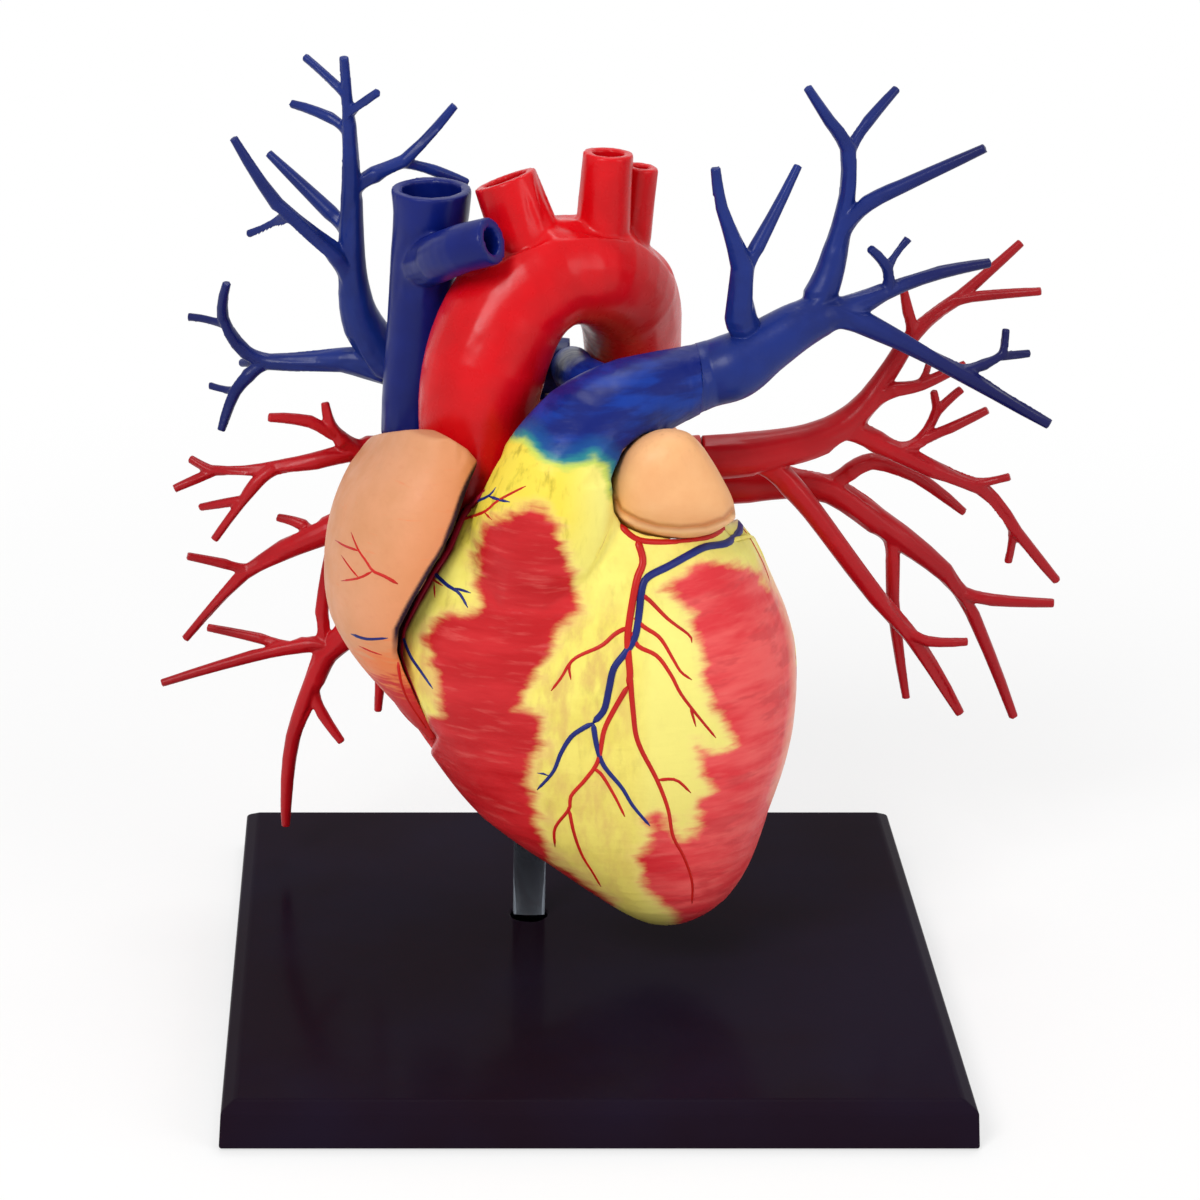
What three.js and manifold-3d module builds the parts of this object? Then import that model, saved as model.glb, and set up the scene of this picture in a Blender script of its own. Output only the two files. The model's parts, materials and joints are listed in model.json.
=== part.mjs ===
// Human heart demonstration model on a stand, taken apart piece by piece.
// Millimetres, +Z up, origin at the centre of the base's underside.
// +X is the viewer's right and -Y is the front.
import * as THREE from 'three';
import { mergeVertices } from 'three/addons/utils/BufferGeometryUtils.js';
import Module from 'manifold-3d';

const wasm = await Module();
wasm.setup();

// Clearances
const SEAT_GAP = 0.3;
const PEG_FIT = 0.3;
const AORTA_GAP = 0.7;

// Base plate
const BASE_SIDE = 96;
const BASE_HEIGHT = 6;
const BASE_WALL = 2;
const BASE_DRAFT = 0.3;
const BASE_BEVEL_WIDTH = 1.8;
const BASE_BEVEL_DROP = 1.1;
const RIB_THICKNESS = 1.6;
const RIB_RELIEF = 0.6;
const RIB_SPACING = 24;
const BASE_PAD_RADIUS = 6;

// Post and its two sockets
const POST_X = -7;
const POST_Y = 9.9;
const POST_RADIUS = 2.25;
const POST_SOCKET_WALL = 2;
const BASE_SOCKET_FLOOR = 1.2;
const APEX_GAP = 6;
const HEART_SOCKET_TOP = 29;
const HEART_SOCKET_ROOF = 3;
const HEART_SOCKET_WALL = 2.6;

// Direction in which the front pieces pull off: forwards and up
const PULL_TILT = 20;
const PULL_SLOPE = Math.tan(THREE.MathUtils.degToRad(PULL_TILT));

// Walls of the chambers
const VENTRICLE_WALL = 4;
const ATRIUM_WALL = 2.4;
const SEPTUM_THICKNESS = 5;
// Left face of the septum between the ventricles: x and height, seen along the pull
const SEPTUM_FACE = [[15, 4], [11.5, 14], [8, 26], [6.5, 38], [7, 56]];
const VALVE_PLATE_THICKNESS = 2.4;

// The seam between the ventricles and what lies above them climbs to the viewer's right
const CROWN_HEIGHT = 40.8;
const CROWN_SLOPE = 0.32;

// The seam between the front and the back wall leans back with height
const SPLIT_AT_APEX = -14;
const SPLIT_SLOPE = 0.21;
const SPLIT_TOP = 42.5;
const SHELF_DEPTH = -13.5;

// Faces on a tube and on a round body
const BRANCH_SIDES = 5;
const STOUT_BRANCH = 2.5;
const STOUT_SIDES = 8;
const VESSEL_SIDES = 12;
const BORE_SIDES = 10;
const BODY_SIDES = 24;
const HOLLOW_SIDES = 12;
const PEG_SIDES = 8;
const ROUND_SIDES = 16;

// How square the sections are: 2 is an ellipse
const SECTION_POWER = 2.2;

// Reach of the cutting solids, well past the heart
const REACH = 120;

// Materials: colour, roughness, metalness
const LOOKS = {
  base: ['#1c1620', 0.22, 0],
  acrylic: ['#e8eef2', 0.05, 0],
  muscle: ['#d83040', 0.42, 0],
  fat: ['#f2e06c', 0.42, 0],
  atrium: ['#e8a878', 0.5, 0],
  artery: ['#d02026', 0.35, 0],
  vein: ['#c81c24', 0.38, 0],
  blue: ['#243a86', 0.35, 0],
  valve: ['#efe2c8', 0.5, 0],
};

// Sections of the ventricles from the apex up: height, edges, depth of the middle,
// and how far the front and the back bulge from it
const VENTRICLES = [
  { z: 1.5, left: 13, right: 22.2, middle: -13.6, front: 6.5, back: 6 },
  { z: 5, left: 7.5, right: 26.9, middle: -13, front: 11, back: 10.5 },
  { z: 10, left: 0.1, right: 29.9, middle: -11.5, front: 14.5, back: 14 },
  { z: 16, left: -8.4, right: 31.9, middle: -10, front: 17.5, back: 16.5 },
  { z: 21, left: -12.7, right: 33.7, middle: -8.6, front: 19.5, back: 18 },
  { z: 26.5, left: -16.6, right: 35, middle: -7.5, front: 21, back: 19 },
  { z: 31.5, left: -19.4, right: 35.4, middle: -6.5, front: 22, back: 19.5 },
  { z: 37, left: -20.7, right: 35, middle: -6, front: 22.5, back: 19.5 },
  { z: 42.5, left: -20.1, right: 33.3, middle: -5.5, front: 22.5, back: 19 },
  { z: 48, left: -18.3, right: 30.8, middle: -5, front: 22, back: 18 },
  { z: 52.5, left: -16.5, right: 28.7, middle: -5, front: 21, back: 16 },
  { z: 57, left: -13.2, right: 24.8, middle: -5, front: 19, back: 13 },
  { z: 61, left: -8.8, right: 22, middle: -5, front: 16.5, back: 9 },
];
const APEX_TIP = [17.5, -14, 0];

// Sections of the right atrium, cut flat at its back
const RIGHT_ATRIUM = [
  { z: 26, left: -14.9, right: -11, middle: -11, front: 4, back: 4 },
  { z: 31, left: -19.5, right: -9, middle: -8, front: 10, back: 10 },
  { z: 36, left: -24.1, right: -7, middle: -6, front: 14, back: 14 },
  { z: 42, left: -27.6, right: -5, middle: -5, front: 17, back: 16 },
  { z: 48, left: -28.2, right: -4, middle: -5, front: 18, back: 17 },
  { z: 54, left: -27.5, right: -4, middle: -5, front: 18, back: 17 },
  { z: 60, left: -25.2, right: -4, middle: -5, front: 17, back: 16 },
  { z: 65, left: -21.3, right: -5, middle: -5, front: 15.5, back: 14 },
  { z: 69.5, left: -18.5, right: -7, middle: -6, front: 13, back: 10 },
];
const RIGHT_ATRIUM_BACK = 4.2;
const ATRIUM_HOLLOW_RIGHT = -17.6;
const ATRIUM_HOLLOW_LOW = 42;
const ATRIUM_HOLLOW_HIGH = 60;
const ATRIUM_HOLLOW_SPARE = 2;

// Groove between the right atrium and the front wall, seen along the pull: x and height
const ATRIUM_GROOVE = [
  [-7.8, 59.7], [-9.1, 56], [-11, 50.2], [-13.2, 45.8], [-16.1, 40.5], [-18, 36.5],
  [-18.2, 33.5], [-17.3, 30.6], [-15.2, 25.9], [-13, 21.4],
];
const ATRIUM_TOP = 64;
const ATRIUM_SHOULDER = [-13.5, 64];
const ATRIUM_FLAP_TIP = [-9.6, 61.6];
const ATRIUM_FOOT = [-15.5, 15];

// Muscles that stand up from the floor of the ventricles: routes of x, y, z and radius
const PAPILLARY_MUSCLES = [
  [[22, 0, 12, 3.4], [21, -1, 20, 2.8], [18.5, -1, 27, 1.6]],
  [[27, -6, 20, 3.2], [24, -5, 26, 2.4], [20, -3, 31, 1.5]],
  [[-8, -4, 18, 3], [-8.5, -4.5, 25, 2.2], [-9.5, -4, 30, 1.3]],
];

// Outline of the left auricle, seen along the pull: x and height above the crown
const AURICLE_OUTLINE = [
  [9.4, 12.1], [9, 16.1], [10.6, 20.2], [13.1, 22.2], [15.6, 23.1], [18.8, 22.6], [21.5, 19.5],
  [23.5, 16.1], [24.8, 13.4], [25.2, 11], [22.4, 9.1], [17.9, 8.3], [13.4, 9], [10.8, 10.1],
];
const AURICLE_FRONT = -26;
const AURICLE_CORE = [16, 14.7];
// Steps back from the front: how far, and what share of the outline is left
const AURICLE_STEPS = [
  [0, 0.35], [0.7, 0.62], [2, 0.83], [3.8, 0.95], [6, 1], [8, 1], [12, 0.86], [18, 0.6], [25, 0.36],
];
const AURICLE_PEG_RADIUS = 1.6;
const AURICLE_PEG_LENGTH = 4;

// Sections of the left atrium
const LEFT_ATRIUM = [
  { z: 33, left: -11, right: 17, middle: 11, front: 6, back: 6 },
  { z: 39, left: -13, right: 20.5, middle: 11, front: 9.5, back: 9 },
  { z: 45, left: -14.5, right: 22.3, middle: 11, front: 10.8, back: 10.5 },
  { z: 51, left: -15, right: 22.8, middle: 11, front: 11, back: 11 },
  { z: 56.5, left: -14, right: 22.4, middle: 11, front: 10.5, back: 10.5 },
  { z: 61, left: -11, right: 20, middle: 11, front: 9, back: 9 },
  { z: 64, left: -7, right: 14, middle: 11.5, front: 6.5, back: 6 },
];
const LEFT_ATRIUM_SIDE_WALL = 5.2;
const LEFT_ATRIUM_FRONT_WALL = 3.8;
const RIGHT_COLLAR_LENGTH = 9;
const LEFT_COLLAR_LENGTH = 6;

// Saddle on the left atrium's roof that guides the right pulmonary artery
const SADDLE_LEFT = -8;
const SADDLE_RIGHT = 4;
const SADDLE_WIDTH = 6;
const SADDLE_TOP = 65.7;
const SADDLE_DEPTH = 7;
const SADDLE_STOP = 2;
const RAIL_WIDTH = 2;
const RAIL_DEPTH = 2;

// Septum between the atria: a plate behind the right atrium with a plug that fits its opening
const SEPTAL_PLATE_THICKNESS = 2.8;
const SEPTAL_PLATE_RIGHT = -11;
const SEPTAL_PLUG_DEPTH = 2.6;
const SEPTAL_EDGE = 0.6;

// Great vessels: centre line and outer radius
const AORTA_WALL = 2;
const BRANCH_WALL = 1.2;
const AORTA = [
  [-4.5, -5.5, 38, 6], [-4.7, -5.6, 47, 6.1], [-6, -6.2, 55, 6.6], [-7.6, -7, 62, 7.2],
  [-8, -7, 68.5, 7.7], [-7, -6.5, 75.5, 8.1], [-4, -4.2, 82.5, 8], [1.5, -2.5, 87.3, 7.8],
  [7.6, 0.8, 86.6, 7.5], [11.8, 6, 82, 7.1], [13.4, 12.5, 75, 6.7], [13.8, 16, 66.5, 6.3],
];
const ASCENDING_POINTS = 6;
const BRACHIOCEPHALIC_ARTERY = [[0.5, -3.5, 87, 5], [-1.5, -3, 91.5, 4.6], [-4.5, -2, 99.5, 4.2]];
const CAROTID_ARTERY = [[8.2, 0, 88, 4.4], [8.5, 0, 93, 3.6], [9, 0, 102.5, 3.3]];
const SUBCLAVIAN_ARTERY = [[11.5, 3.5, 85, 3.4], [12.5, 5, 90, 2.7], [13.6, 5, 99.5, 2.4]];

const CAVA_WALL = 1.3;
const SUPERIOR_CAVA = [
  [-14, 1, 97.5, 5.3], [-14, 1.2, 94, 5], [-14.7, 2.2, 88.5, 4.6], [-15.2, 3.6, 82, 4.4],
  [-15.6, 3.9, 75, 4.4], [-16, 3.6, 68, 4.5], [-16, 3.2, 60, 4.7],
];
const LEFT_BRACHIOCEPHALIC_VEIN = [
  [-15, 0.5, 87.5, 3.2], [-13, -6, 90, 3.2], [-10, -10.5, 92.5, 3.15], [-6.3, -12.6, 94, 3.1],
];
const CAVA_PIN_RADIUS = 1.1;
const CAVA_PIN_LENGTH = 6;
const CAVA_PIN_Y = 7.2;
const CAVA_LUG_RADIUS = 2.2;
const CAVA_LUG_LENGTH = 10;

const INFERIOR_CAVA_X = -12.5;
const INFERIOR_CAVA_Y = 13.6;
const INFERIOR_CAVA_RADIUS = 4.2;
const INFERIOR_CAVA_LOW = 24;
const INFERIOR_CAVA_HIGH = 37;
const INFERIOR_CAVA_PIN_RADIUS = 1.6;
const INFERIOR_CAVA_PIN_LENGTH = 3.4;

// Stretch where the trunk runs on into the left pulmonary artery
const ARTERY_JOINT = [[12.5, -12.7, 73, 5.7], [20.9, -8.1, 74.5, 4.4], [25.5, -8, 76, 4.4]];

const TRUNK_WALL = 2;
const TRUNK = [
  [-0.5, -15.5, 48, 10.2], [0.8, -18.4, 56.5, 9.8], [3, -19.2, 65, 8.4], [6.6, -17, 70, 7.3],
  ...ARTERY_JOINT,
];
const TRUNK_END = 20.6;
const OUTFLOW = [
  [-4, -16, 36, 5], [-1, -16.5, 46, 5.5], [2, -18.8, 57, 6.2], [3, -19.2, 65, 6.1], [6.6, -17, 70, 5.2],
  [12.5, -12.7, 73, 3.7], [14.5, -11.5, 73.5, 3.2],
];
const RIGHT_STUB = [[11, -13, 73.4, 3], [6.6, -7, 73.6, 3], [5.2, 0, 72.6, 2.9], [5.2, 8.3, 71, 2.9]];
const RIGHT_STUB_BORE = 1.7;

// Spigots of the lung vessels
const SPIGOT_LENGTH = 4;
const SPIGOT_RADIUS = 2;
const SPIGOT_SHOULDER = 1;
const ARTERY_SPIGOT_RADIUS = 2.4;

// Valve openings in the plate: centre and half axes
const MITRAL = { x: 16.6, y: 2.6, wide: 4.7, deep: 5.8, drop: 7, leaflets: 2 };
const TRICUSPID = { x: -12.7, y: -4.5, wide: 2.3, deep: 4.6, drop: 5, leaflets: 3 };
const AORTIC_BORE = 3.9;
const AORTIC_COLLAR_HEIGHT = 3.4;
const AORTIC_VALVE_LIFT = 1;
const PULMONARY_SEAT = [2.5, -19, 61];
const PULMONARY_BORE = 5.7;
const LEAFLET_THICKNESS = 0.8;
const LEAFLET_SLIT = 0.7;
// Where the first slit lies, and how far the leaflets draw in
const LEAFLET_TURN = 0.4;
const LEAFLET_MOUTH = 0.5;

// Cupped valves: sizes as shares of the ring's radius
const CUP_COUNT = 3;
const CUP_FACES = [6, 3];
const CUP_SIZE = 0.56;
const CUP_OFFSET = 0.5;
const CUP_SKIN = 0.56;
const RING_BELOW = 0.6;
const RING_ABOVE = 0.3;

// Pegs between the front and the back wall: points on the seam
const WALL_PEG_RADIUS = 0.9;
const WALL_PEG_LENGTH = 3.5;
const WALL_PEGS = [[-6.6, 17], [32.9, 31], [29.2, 14], [17.5, 2.6]];

// Lung vessels. Each branch is a route of x, y, z and radius, from its root to its tip
const RIGHT_PULMONARY_ARTERY = {
  stem: [
    [5, 12.6, 70, 3.8], [-2, 12.8, 70, 3.9], [-9, 13, 70, 4], [-15.5, 13, 70.2, 4],
    [-20, 12.8, 71.5, 3.7],
    [-23, 11.5, 76, 2.8], [-24.2, 10.5, 81, 2.2], [-24.6, 10, 86, 1.9], [-24.5, 9, 94, 1.5],
    [-24.8, 7.5, 104.5, 1], [-25.4, 5, 114, 0.65],
  ],
  apexLeft: [[-25.3, 6.2, 109, 0.8], [-30.6, 10, 113, 0.6]],
  apexRight: [[-24.9, 7, 106, 0.85], [-21, 3, 109.8, 0.6]],
  highLeft: [[-24.7, 7.8, 103.4, 0.95], [-27.3, 9, 105.1, 0.8], [-32.5, 12, 106.3, 0.6]],
  highRight: [[-24.5, 9, 95.4, 1.3], [-21.4, 9, 97.4, 1.2], [-17.4, 10, 99, 1], [-10.8, 10, 106.5, 0.6]],
  overCava: [[-17.7, 10, 98.8, 0.9], [-13.4, 11.5, 97.3, 0.8], [-9, 12.5, 95.4, 0.6]],
  thinLeft: [[-24.5, 9.7, 89, 1.3], [-27.4, 11.5, 91.6, 1.1], [-35.7, 15, 98.9, 0.6]],
  bigLeft: [[-24.4, 10.3, 82.5, 1.8], [-26.5, 9, 86.5, 1.5], [-34.3, 6, 94.1, 1], [-39.9, 4, 103.5, 0.6]],
  bigLeftTwig: [[-33, 6.5, 92.4, 0.9], [-38.3, 10.5, 88.9, 0.6]],
  low: [
    [-20, 12.8, 70, 2.8], [-26, 13.5, 70.5, 1.7], [-36.1, 15.5, 69.6, 1.2], [-39.1, 15.5, 71, 1],
    [-42.1, 14.5, 76.1, 0.85], [-41.4, 12, 81.7, 0.6],
  ],
  lowTip: [[-41.7, 14.8, 75.2, 0.8], [-46.9, 18, 75.3, 0.6]],
  lowNub: [[-36.9, 15.5, 69.7, 0.8], [-39.9, 19.5, 68.3, 0.6]],
  lowDown: [
    [-36.4, 15.5, 69.6, 1.1], [-38.8, 15.5, 67.7, 1.05], [-40.7, 15.5, 65.3, 0.9],
    [-42.6, 14, 60.2, 0.6],
  ],
  lowDownTwig: [[-40.5, 15.5, 65.4, 0.75], [-44.2, 18, 65.5, 0.55]],
};
const LEFT_PULMONARY_ARTERY = {
  stem: [
    ...ARTERY_JOINT,
    [29.5, -7.5, 78.5, 3.7], [33.5, -7, 81, 3.2], [37, -6.5, 82.5, 2.7],
    [40, -6.4, 83, 2.1], [44.9, -5.5, 85.3, 1.2], [52.3, -4, 87.5, 0.9], [59, -2.5, 88.4, 0.65],
  ],
  left: [
    [28, -7.5, 77.5, 2.7], [26, -9, 83, 2.1], [26, -10, 90, 1.6], [22.9, -12, 98.1, 0.8],
    [21.9, -13, 103.6, 0.6],
  ],
  leftFork: [[26, -10, 89.5, 1.4], [27.8, -9, 92.2, 1.05], [33.2, -5, 102, 0.6]],
  up: [
    [33.5, -7, 81, 2.8], [37, -6, 86, 2.1], [38.3, -5.5, 90.5, 1.7], [39.5, -5, 95.5, 1.4],
    [39.6, -4.5, 104.2, 1.1],
    [36.9, -6, 108, 0.8], [33.7, -8, 112.8, 0.6],
  ],
  upFork: [[39.6, -4.5, 103.6, 1], [42.2, -3, 107.3, 0.8], [46, -1, 111.2, 0.6]],
  upRight: [
    [39, -5.2, 93.5, 1.4], [42.2, -6.5, 97.4, 1.1], [46.3, -8, 100, 0.95], [56.2, -11, 105.7, 0.65],
  ],
  small: [[45.7, -5.4, 85.6, 1.1], [45, -6.5, 89, 0.8], [42.5, -8, 91.8, 0.6]],
  smallFork: [[45, -6.4, 88.7, 0.75], [47.8, -5, 92.3, 0.6]],
  low: [
    [38.4, -6.5, 82.8, 2.4], [42.5, -7.5, 81.5, 1.6], [55.3, -11, 75.6, 1.15],
    [66.1, -13.5, 69.7, 0.75],
  ],
  lowTwig: [[54.5, -10.8, 76, 1], [57.8, -10, 76.8, 0.8], [60.2, -9.5, 78, 0.7], [60.5, -9, 81.3, 0.55]],
  lowTwigFork: [[59.9, -9.6, 77.8, 0.7], [63.9, -8, 77.7, 0.55]],
};
const LEFT_SUPERIOR_VEIN = {
  stem: [
    [22.9, 6, 59, 3.1], [29.5, 6, 59.5, 3], [34.5, 6, 60.5, 2.6], [39, 6.5, 61.7, 2.4], [43, 7, 64, 2.1],
    [45.5, 7, 67, 1.7], [49.5, 8, 73.5, 1.25], [51.1, 8, 76.1, 1.2], [57.2, 9, 80.7, 0.9],
    [65.2, 11, 87.6, 0.6],
  ],
  topTwig: [[51, 8, 75.6, 1.1], [50, 7.5, 78.9, 0.8], [49.2, 7, 82.1, 0.6]],
  topFork: [[56.4, 8.8, 80.1, 0.9], [59.6, 8, 81, 0.75], [67.4, 6, 82.2, 0.6]],
  inner: [[45.5, 7, 66.6, 1.5], [48.6, 6, 68.6, 1.1], [52.1, 6, 69.3, 0.9], [57.7, 5, 72.4, 0.6]],
  innerNub: [[52.1, 6, 69.3, 0.7], [53.4, 8, 72.9, 0.55]],
  middle: [
    [42, 7, 63, 2], [46.5, 6.5, 61, 1.6], [54, 5.5, 57.5, 1.3], [60.8, 6, 54.7, 1.1],
    [66.2, 7, 47.9, 0.9], [72.4, 8.5, 40.3, 0.65],
  ],
  middleTwig: [[59.8, 5.9, 55.2, 0.9], [64.4, 4.5, 56.7, 0.6]],
  middleDown: [[65.8, 7, 48.5, 0.85], [65.6, 9, 42.9, 0.6]],
  web: [[49.6, 6, 59.9, 1.2], [52.5, 7, 61, 1], [54.6, 8, 65, 0.8], [57.9, 8.5, 67.9, 0.6]],
  webTwig: [[54.6, 8, 65, 0.75], [53.9, 7, 68, 0.55]],
  webRight: [[52.5, 7, 61, 0.9], [56.2, 6, 63.1, 0.75], [61, 5, 66, 0.6]],
  long: [
    [30.5, 6, 59, 2.3], [35, 5.6, 55, 1.7], [38, 5.5, 51.5, 1.5], [47.5, 7, 38.5, 1.3],
    [53.3, 8, 31.6, 1.15], [60.3, 10, 20.1, 0.7],
  ],
  longTwig: [[51.4, 7.8, 33.5, 1], [54.8, 7, 32, 0.8], [60.2, 6, 32.3, 0.6]],
};
const LEFT_INFERIOR_VEIN = {
  stem: [
    [23.2, 14, 52.5, 2.9], [30, 14, 52.5, 2.6], [35.5, 14, 52.8, 2.3], [41.5, 14, 51.8, 2.1],
    [48, 14.5, 47, 1.9],
    [58, 16, 39, 1.35], [60.8, 16.5, 35.5, 1.15], [64.9, 16, 34.8, 0.9], [73.4, 15, 34.7, 0.65],
  ],
  down: [[60.5, 16.4, 35.8, 1.1], [62.5, 17, 32.2, 1], [69.4, 19, 16, 0.7]],
  cross: [[50, 14.8, 45.4, 1.3], [50.5, 14.5, 41.2, 1.05], [50.7, 14, 35.4, 0.95], [53.1, 13, 21.2, 0.6]],
  high: [
    [41, 14, 52, 1.6], [44, 13.7, 54.5, 1.3], [46.8, 13.5, 56, 1.2], [52.9, 13.5, 53.9, 0.95],
    [60, 14, 48.4, 0.6],
  ],
};
const RIGHT_SUPERIOR_VEIN = {
  stem: [
    [-18, 10.9, 58.5, 2.2], [-22.5, 9.6, 59, 1.9], [-25.5, 8.4, 59, 1.55], [-29.5, 7.5, 58, 1.25],
    [-36.8, 8, 56.5, 1], [-43.9, 8.5, 56.3, 0.8], [-46.7, 9.5, 57.7, 0.6],
  ],
  up: [[-23.5, 9, 59, 1.6], [-26, 7.5, 61, 1.2], [-27.6, 7, 63.2, 1], [-28.2, 7.5, 66.3, 0.6]],
  upLeft: [[-27, 7.2, 61.9, 1], [-30.2, 6.5, 63.9, 0.9], [-35.8, 5.5, 64.8, 0.65]],
  tip: [[-43.5, 8.5, 56.2, 0.8], [-48.8, 7.5, 54, 0.6]],
  down: [[-35.2, 7.7, 56.8, 1], [-37.6, 7, 55, 0.95], [-43.4, 5.5, 47.3, 0.6]],
  downTwig: [[-39.9, 6.6, 52.6, 0.75], [-45.4, 8.5, 51, 0.55]],
};
const RIGHT_MIDDLE_VEIN = {
  stem: [
    [-19, 13, 49.5, 2.4], [-24, 12.5, 48, 2.2], [-28, 12, 46.5, 2], [-34, 12.5, 43.5, 1.5],
    [-39.7, 13, 39.9, 1.1], [-48.1, 14, 29.7, 0.6],
  ],
  left: [[-39, 13, 40.3, 1], [-42.3, 12.5, 41.4, 0.75], [-47.4, 11.5, 42.9, 0.6]],
  up: [[-30, 12.2, 45.5, 1.3], [-31.4, 13, 46.9, 0.9], [-35, 14, 47.7, 0.6]],
};
const RIGHT_INFERIOR_VEIN = {
  stem: [
    [-16, 15.2, 43, 2.4], [-18.6, 15.6, 39, 2.3], [-21.5, 16.1, 34.3, 2.2], [-25.5, 16.5, 29.5, 2.1],
    [-28.5, 17, 26.5, 1.9], [-30, 17, 22.5, 1.5], [-33.2, 18, 13.3, 1.1], [-34.3, 19, 3, 0.85],
    [-34.4, 19, -0.9, 0.65],
  ],
  left: [[-28.5, 17, 28, 1.5], [-31.7, 17, 27.7, 1.2], [-38.8, 16.5, 26.2, 0.9], [-51.6, 15, 22.7, 0.6]],
  leftUp: [[-33.6, 17, 27.4, 1], [-37.7, 18, 28.3, 0.8], [-45.2, 19, 29.6, 0.6]],
  fork: [[-30.4, 17.3, 20.6, 1.2], [-28.9, 16.5, 17.3, 0.85], [-26.2, 15.5, 13.5, 0.6]],
  up: [[-28.6, 17, 27.5, 1.2], [-29, 17.5, 32.4, 1], [-27.8, 18.5, 41.9, 0.6]],
  right: [[-21.5, 16.2, 34, 1.4], [-20.7, 17, 28, 1], [-21.1, 18, 17.3, 0.6]],
};

// A closed solid from a closed geometry
function toSolid(geometry) {
  const bare = geometry.clone();
  bare.deleteAttribute('normal');
  bare.deleteAttribute('uv');
  const merged = mergeVertices(bare, 1e-4);
  return new wasm.Manifold(new wasm.Mesh({
    numProp: 3,
    vertProperties: new Float32Array(merged.attributes.position.array),
    triVerts: new Uint32Array(merged.index.array),
  }));
}

function toGeometry(solid) {
  const mesh = solid.getMesh();
  const geometry = new THREE.BufferGeometry();
  geometry.setAttribute('position', new THREE.BufferAttribute(mesh.vertProperties, 3));
  geometry.setIndex(new THREE.BufferAttribute(mesh.triVerts, 1));
  geometry.computeVertexNormals();
  return geometry;
}

function joined(solids) {
  return solids.reduce((sum, solid) => sum.add(solid));
}

// A closed skin over rings of equally many points, each end closed by a point
function skin(rings, startPoint, endPoint) {
  const sides = rings[0].length;
  const points = [...rings.flat(), startPoint, endPoint];
  const start = rings.length * sides;
  const end = start + 1;
  const faces = [];
  for (let ring = 0; ring + 1 < rings.length; ring += 1) {
    for (let side = 0; side < sides; side += 1) {
      const next = (side + 1) % sides;
      const a = ring * sides + side;
      const b = ring * sides + next;
      faces.push(a, b, b + sides, a, b + sides, a + sides);
    }
  }
  for (let side = 0; side < sides; side += 1) {
    const next = (side + 1) % sides;
    faces.push(start, next, side);
    faces.push(end, start - sides + side, start - sides + next);
  }
  const geometry = new THREE.BufferGeometry();
  const values = points.flatMap((point) => point.toArray());
  geometry.setAttribute('position', new THREE.Float32BufferAttribute(values, 3));
  geometry.setIndex(faces);
  return toSolid(geometry);
}

// Ring at one section of a body, drawn in on every side by the inset
function bodyRing(section, inset, sides) {
  const wide = (section.right - section.left) / 2 - inset;
  const centre = (section.right + section.left) / 2;
  const bend = 2 / SECTION_POWER;
  const ring = [];
  for (let side = 0; side < sides; side += 1) {
    const angle = (side / sides) * 2 * Math.PI;
    const across = Math.cos(angle);
    const along = Math.sin(angle);
    const deep = (along < 0 ? section.front : section.back) - inset;
    ring.push(new THREE.Vector3(
      centre + wide * Math.sign(across) * Math.abs(across) ** bend,
      section.middle + deep * Math.sign(along) * Math.abs(along) ** bend,
      section.z,
    ));
  }
  return ring;
}

function ringCentre(ring) {
  return ring.reduce((sum, point) => sum.add(point), new THREE.Vector3()).divideScalar(ring.length);
}

// Body through its sections, with flat ends unless a tip is given; hollows are drawn in by an inset
function body(sections, inset = 0, tip = null) {
  const sides = inset > 0 ? HOLLOW_SIDES : BODY_SIDES;
  const rings = sections.map((section) => bodyRing(section, inset, sides));
  const start = tip ? new THREE.Vector3(...tip) : ringCentre(rings[0]);
  return skin(rings, start, ringCentre(rings[rings.length - 1]));
}

// Tube along a route with its own radius at each point, made wider by grow
function tube(route, sides = VESSEL_SIDES, grow = 0) {
  const centres = route.map(([x, y, z]) => new THREE.Vector3(x, y, z));
  const curve = new THREE.CatmullRomCurve3(centres, false, 'centripetal');
  const rings = [];
  let across = null;
  centres.forEach((centre, index) => {
    const ahead = curve.getTangent(index / (centres.length - 1));
    if (!across) {
      const aside = Math.abs(ahead.z) < 0.9 ? new THREE.Vector3(0, 0, 1) : new THREE.Vector3(1, 0, 0);
      across = aside.cross(ahead).normalize();
    }
    across.sub(ahead.clone().multiplyScalar(across.dot(ahead))).normalize();
    const up = ahead.clone().cross(across);
    const radius = route[index][3] + grow;
    const ring = [];
    for (let side = 0; side < sides; side += 1) {
      const angle = (side / sides) * 2 * Math.PI;
      ring.push(centre.clone()
        .addScaledVector(across, radius * Math.cos(angle))
        .addScaledVector(up, radius * Math.sin(angle)));
    }
    rings.push(ring);
  });
  return skin(rings, centres[0], centres[centres.length - 1]);
}

// Hollow of a vessel: the same route drawn in by the wall and run past both ends
function bore(route, wall, pastStart, pastEnd) {
  const inner = route.map(([x, y, z, radius]) => [x, y, z, radius - wall]);
  const extend = (from, towards, length) => {
    const start = new THREE.Vector3(...from.slice(0, 3));
    const step = new THREE.Vector3(...towards.slice(0, 3)).sub(start).normalize().multiplyScalar(-length);
    return [...start.add(step).toArray(), from[3]];
  };
  if (pastStart) {
    inner.unshift(extend(inner[0], inner[1], pastStart));
  }
  if (pastEnd) {
    inner.push(extend(inner[inner.length - 1], inner[inner.length - 2], pastEnd));
  }
  return inner;
}

function box(low, high) {
  const size = high.map((value, index) => value - low[index]);
  const geometry = new THREE.BoxGeometry(...size);
  geometry.translate(...low.map((value, index) => value + size[index] / 2));
  return toSolid(geometry);
}

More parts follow.
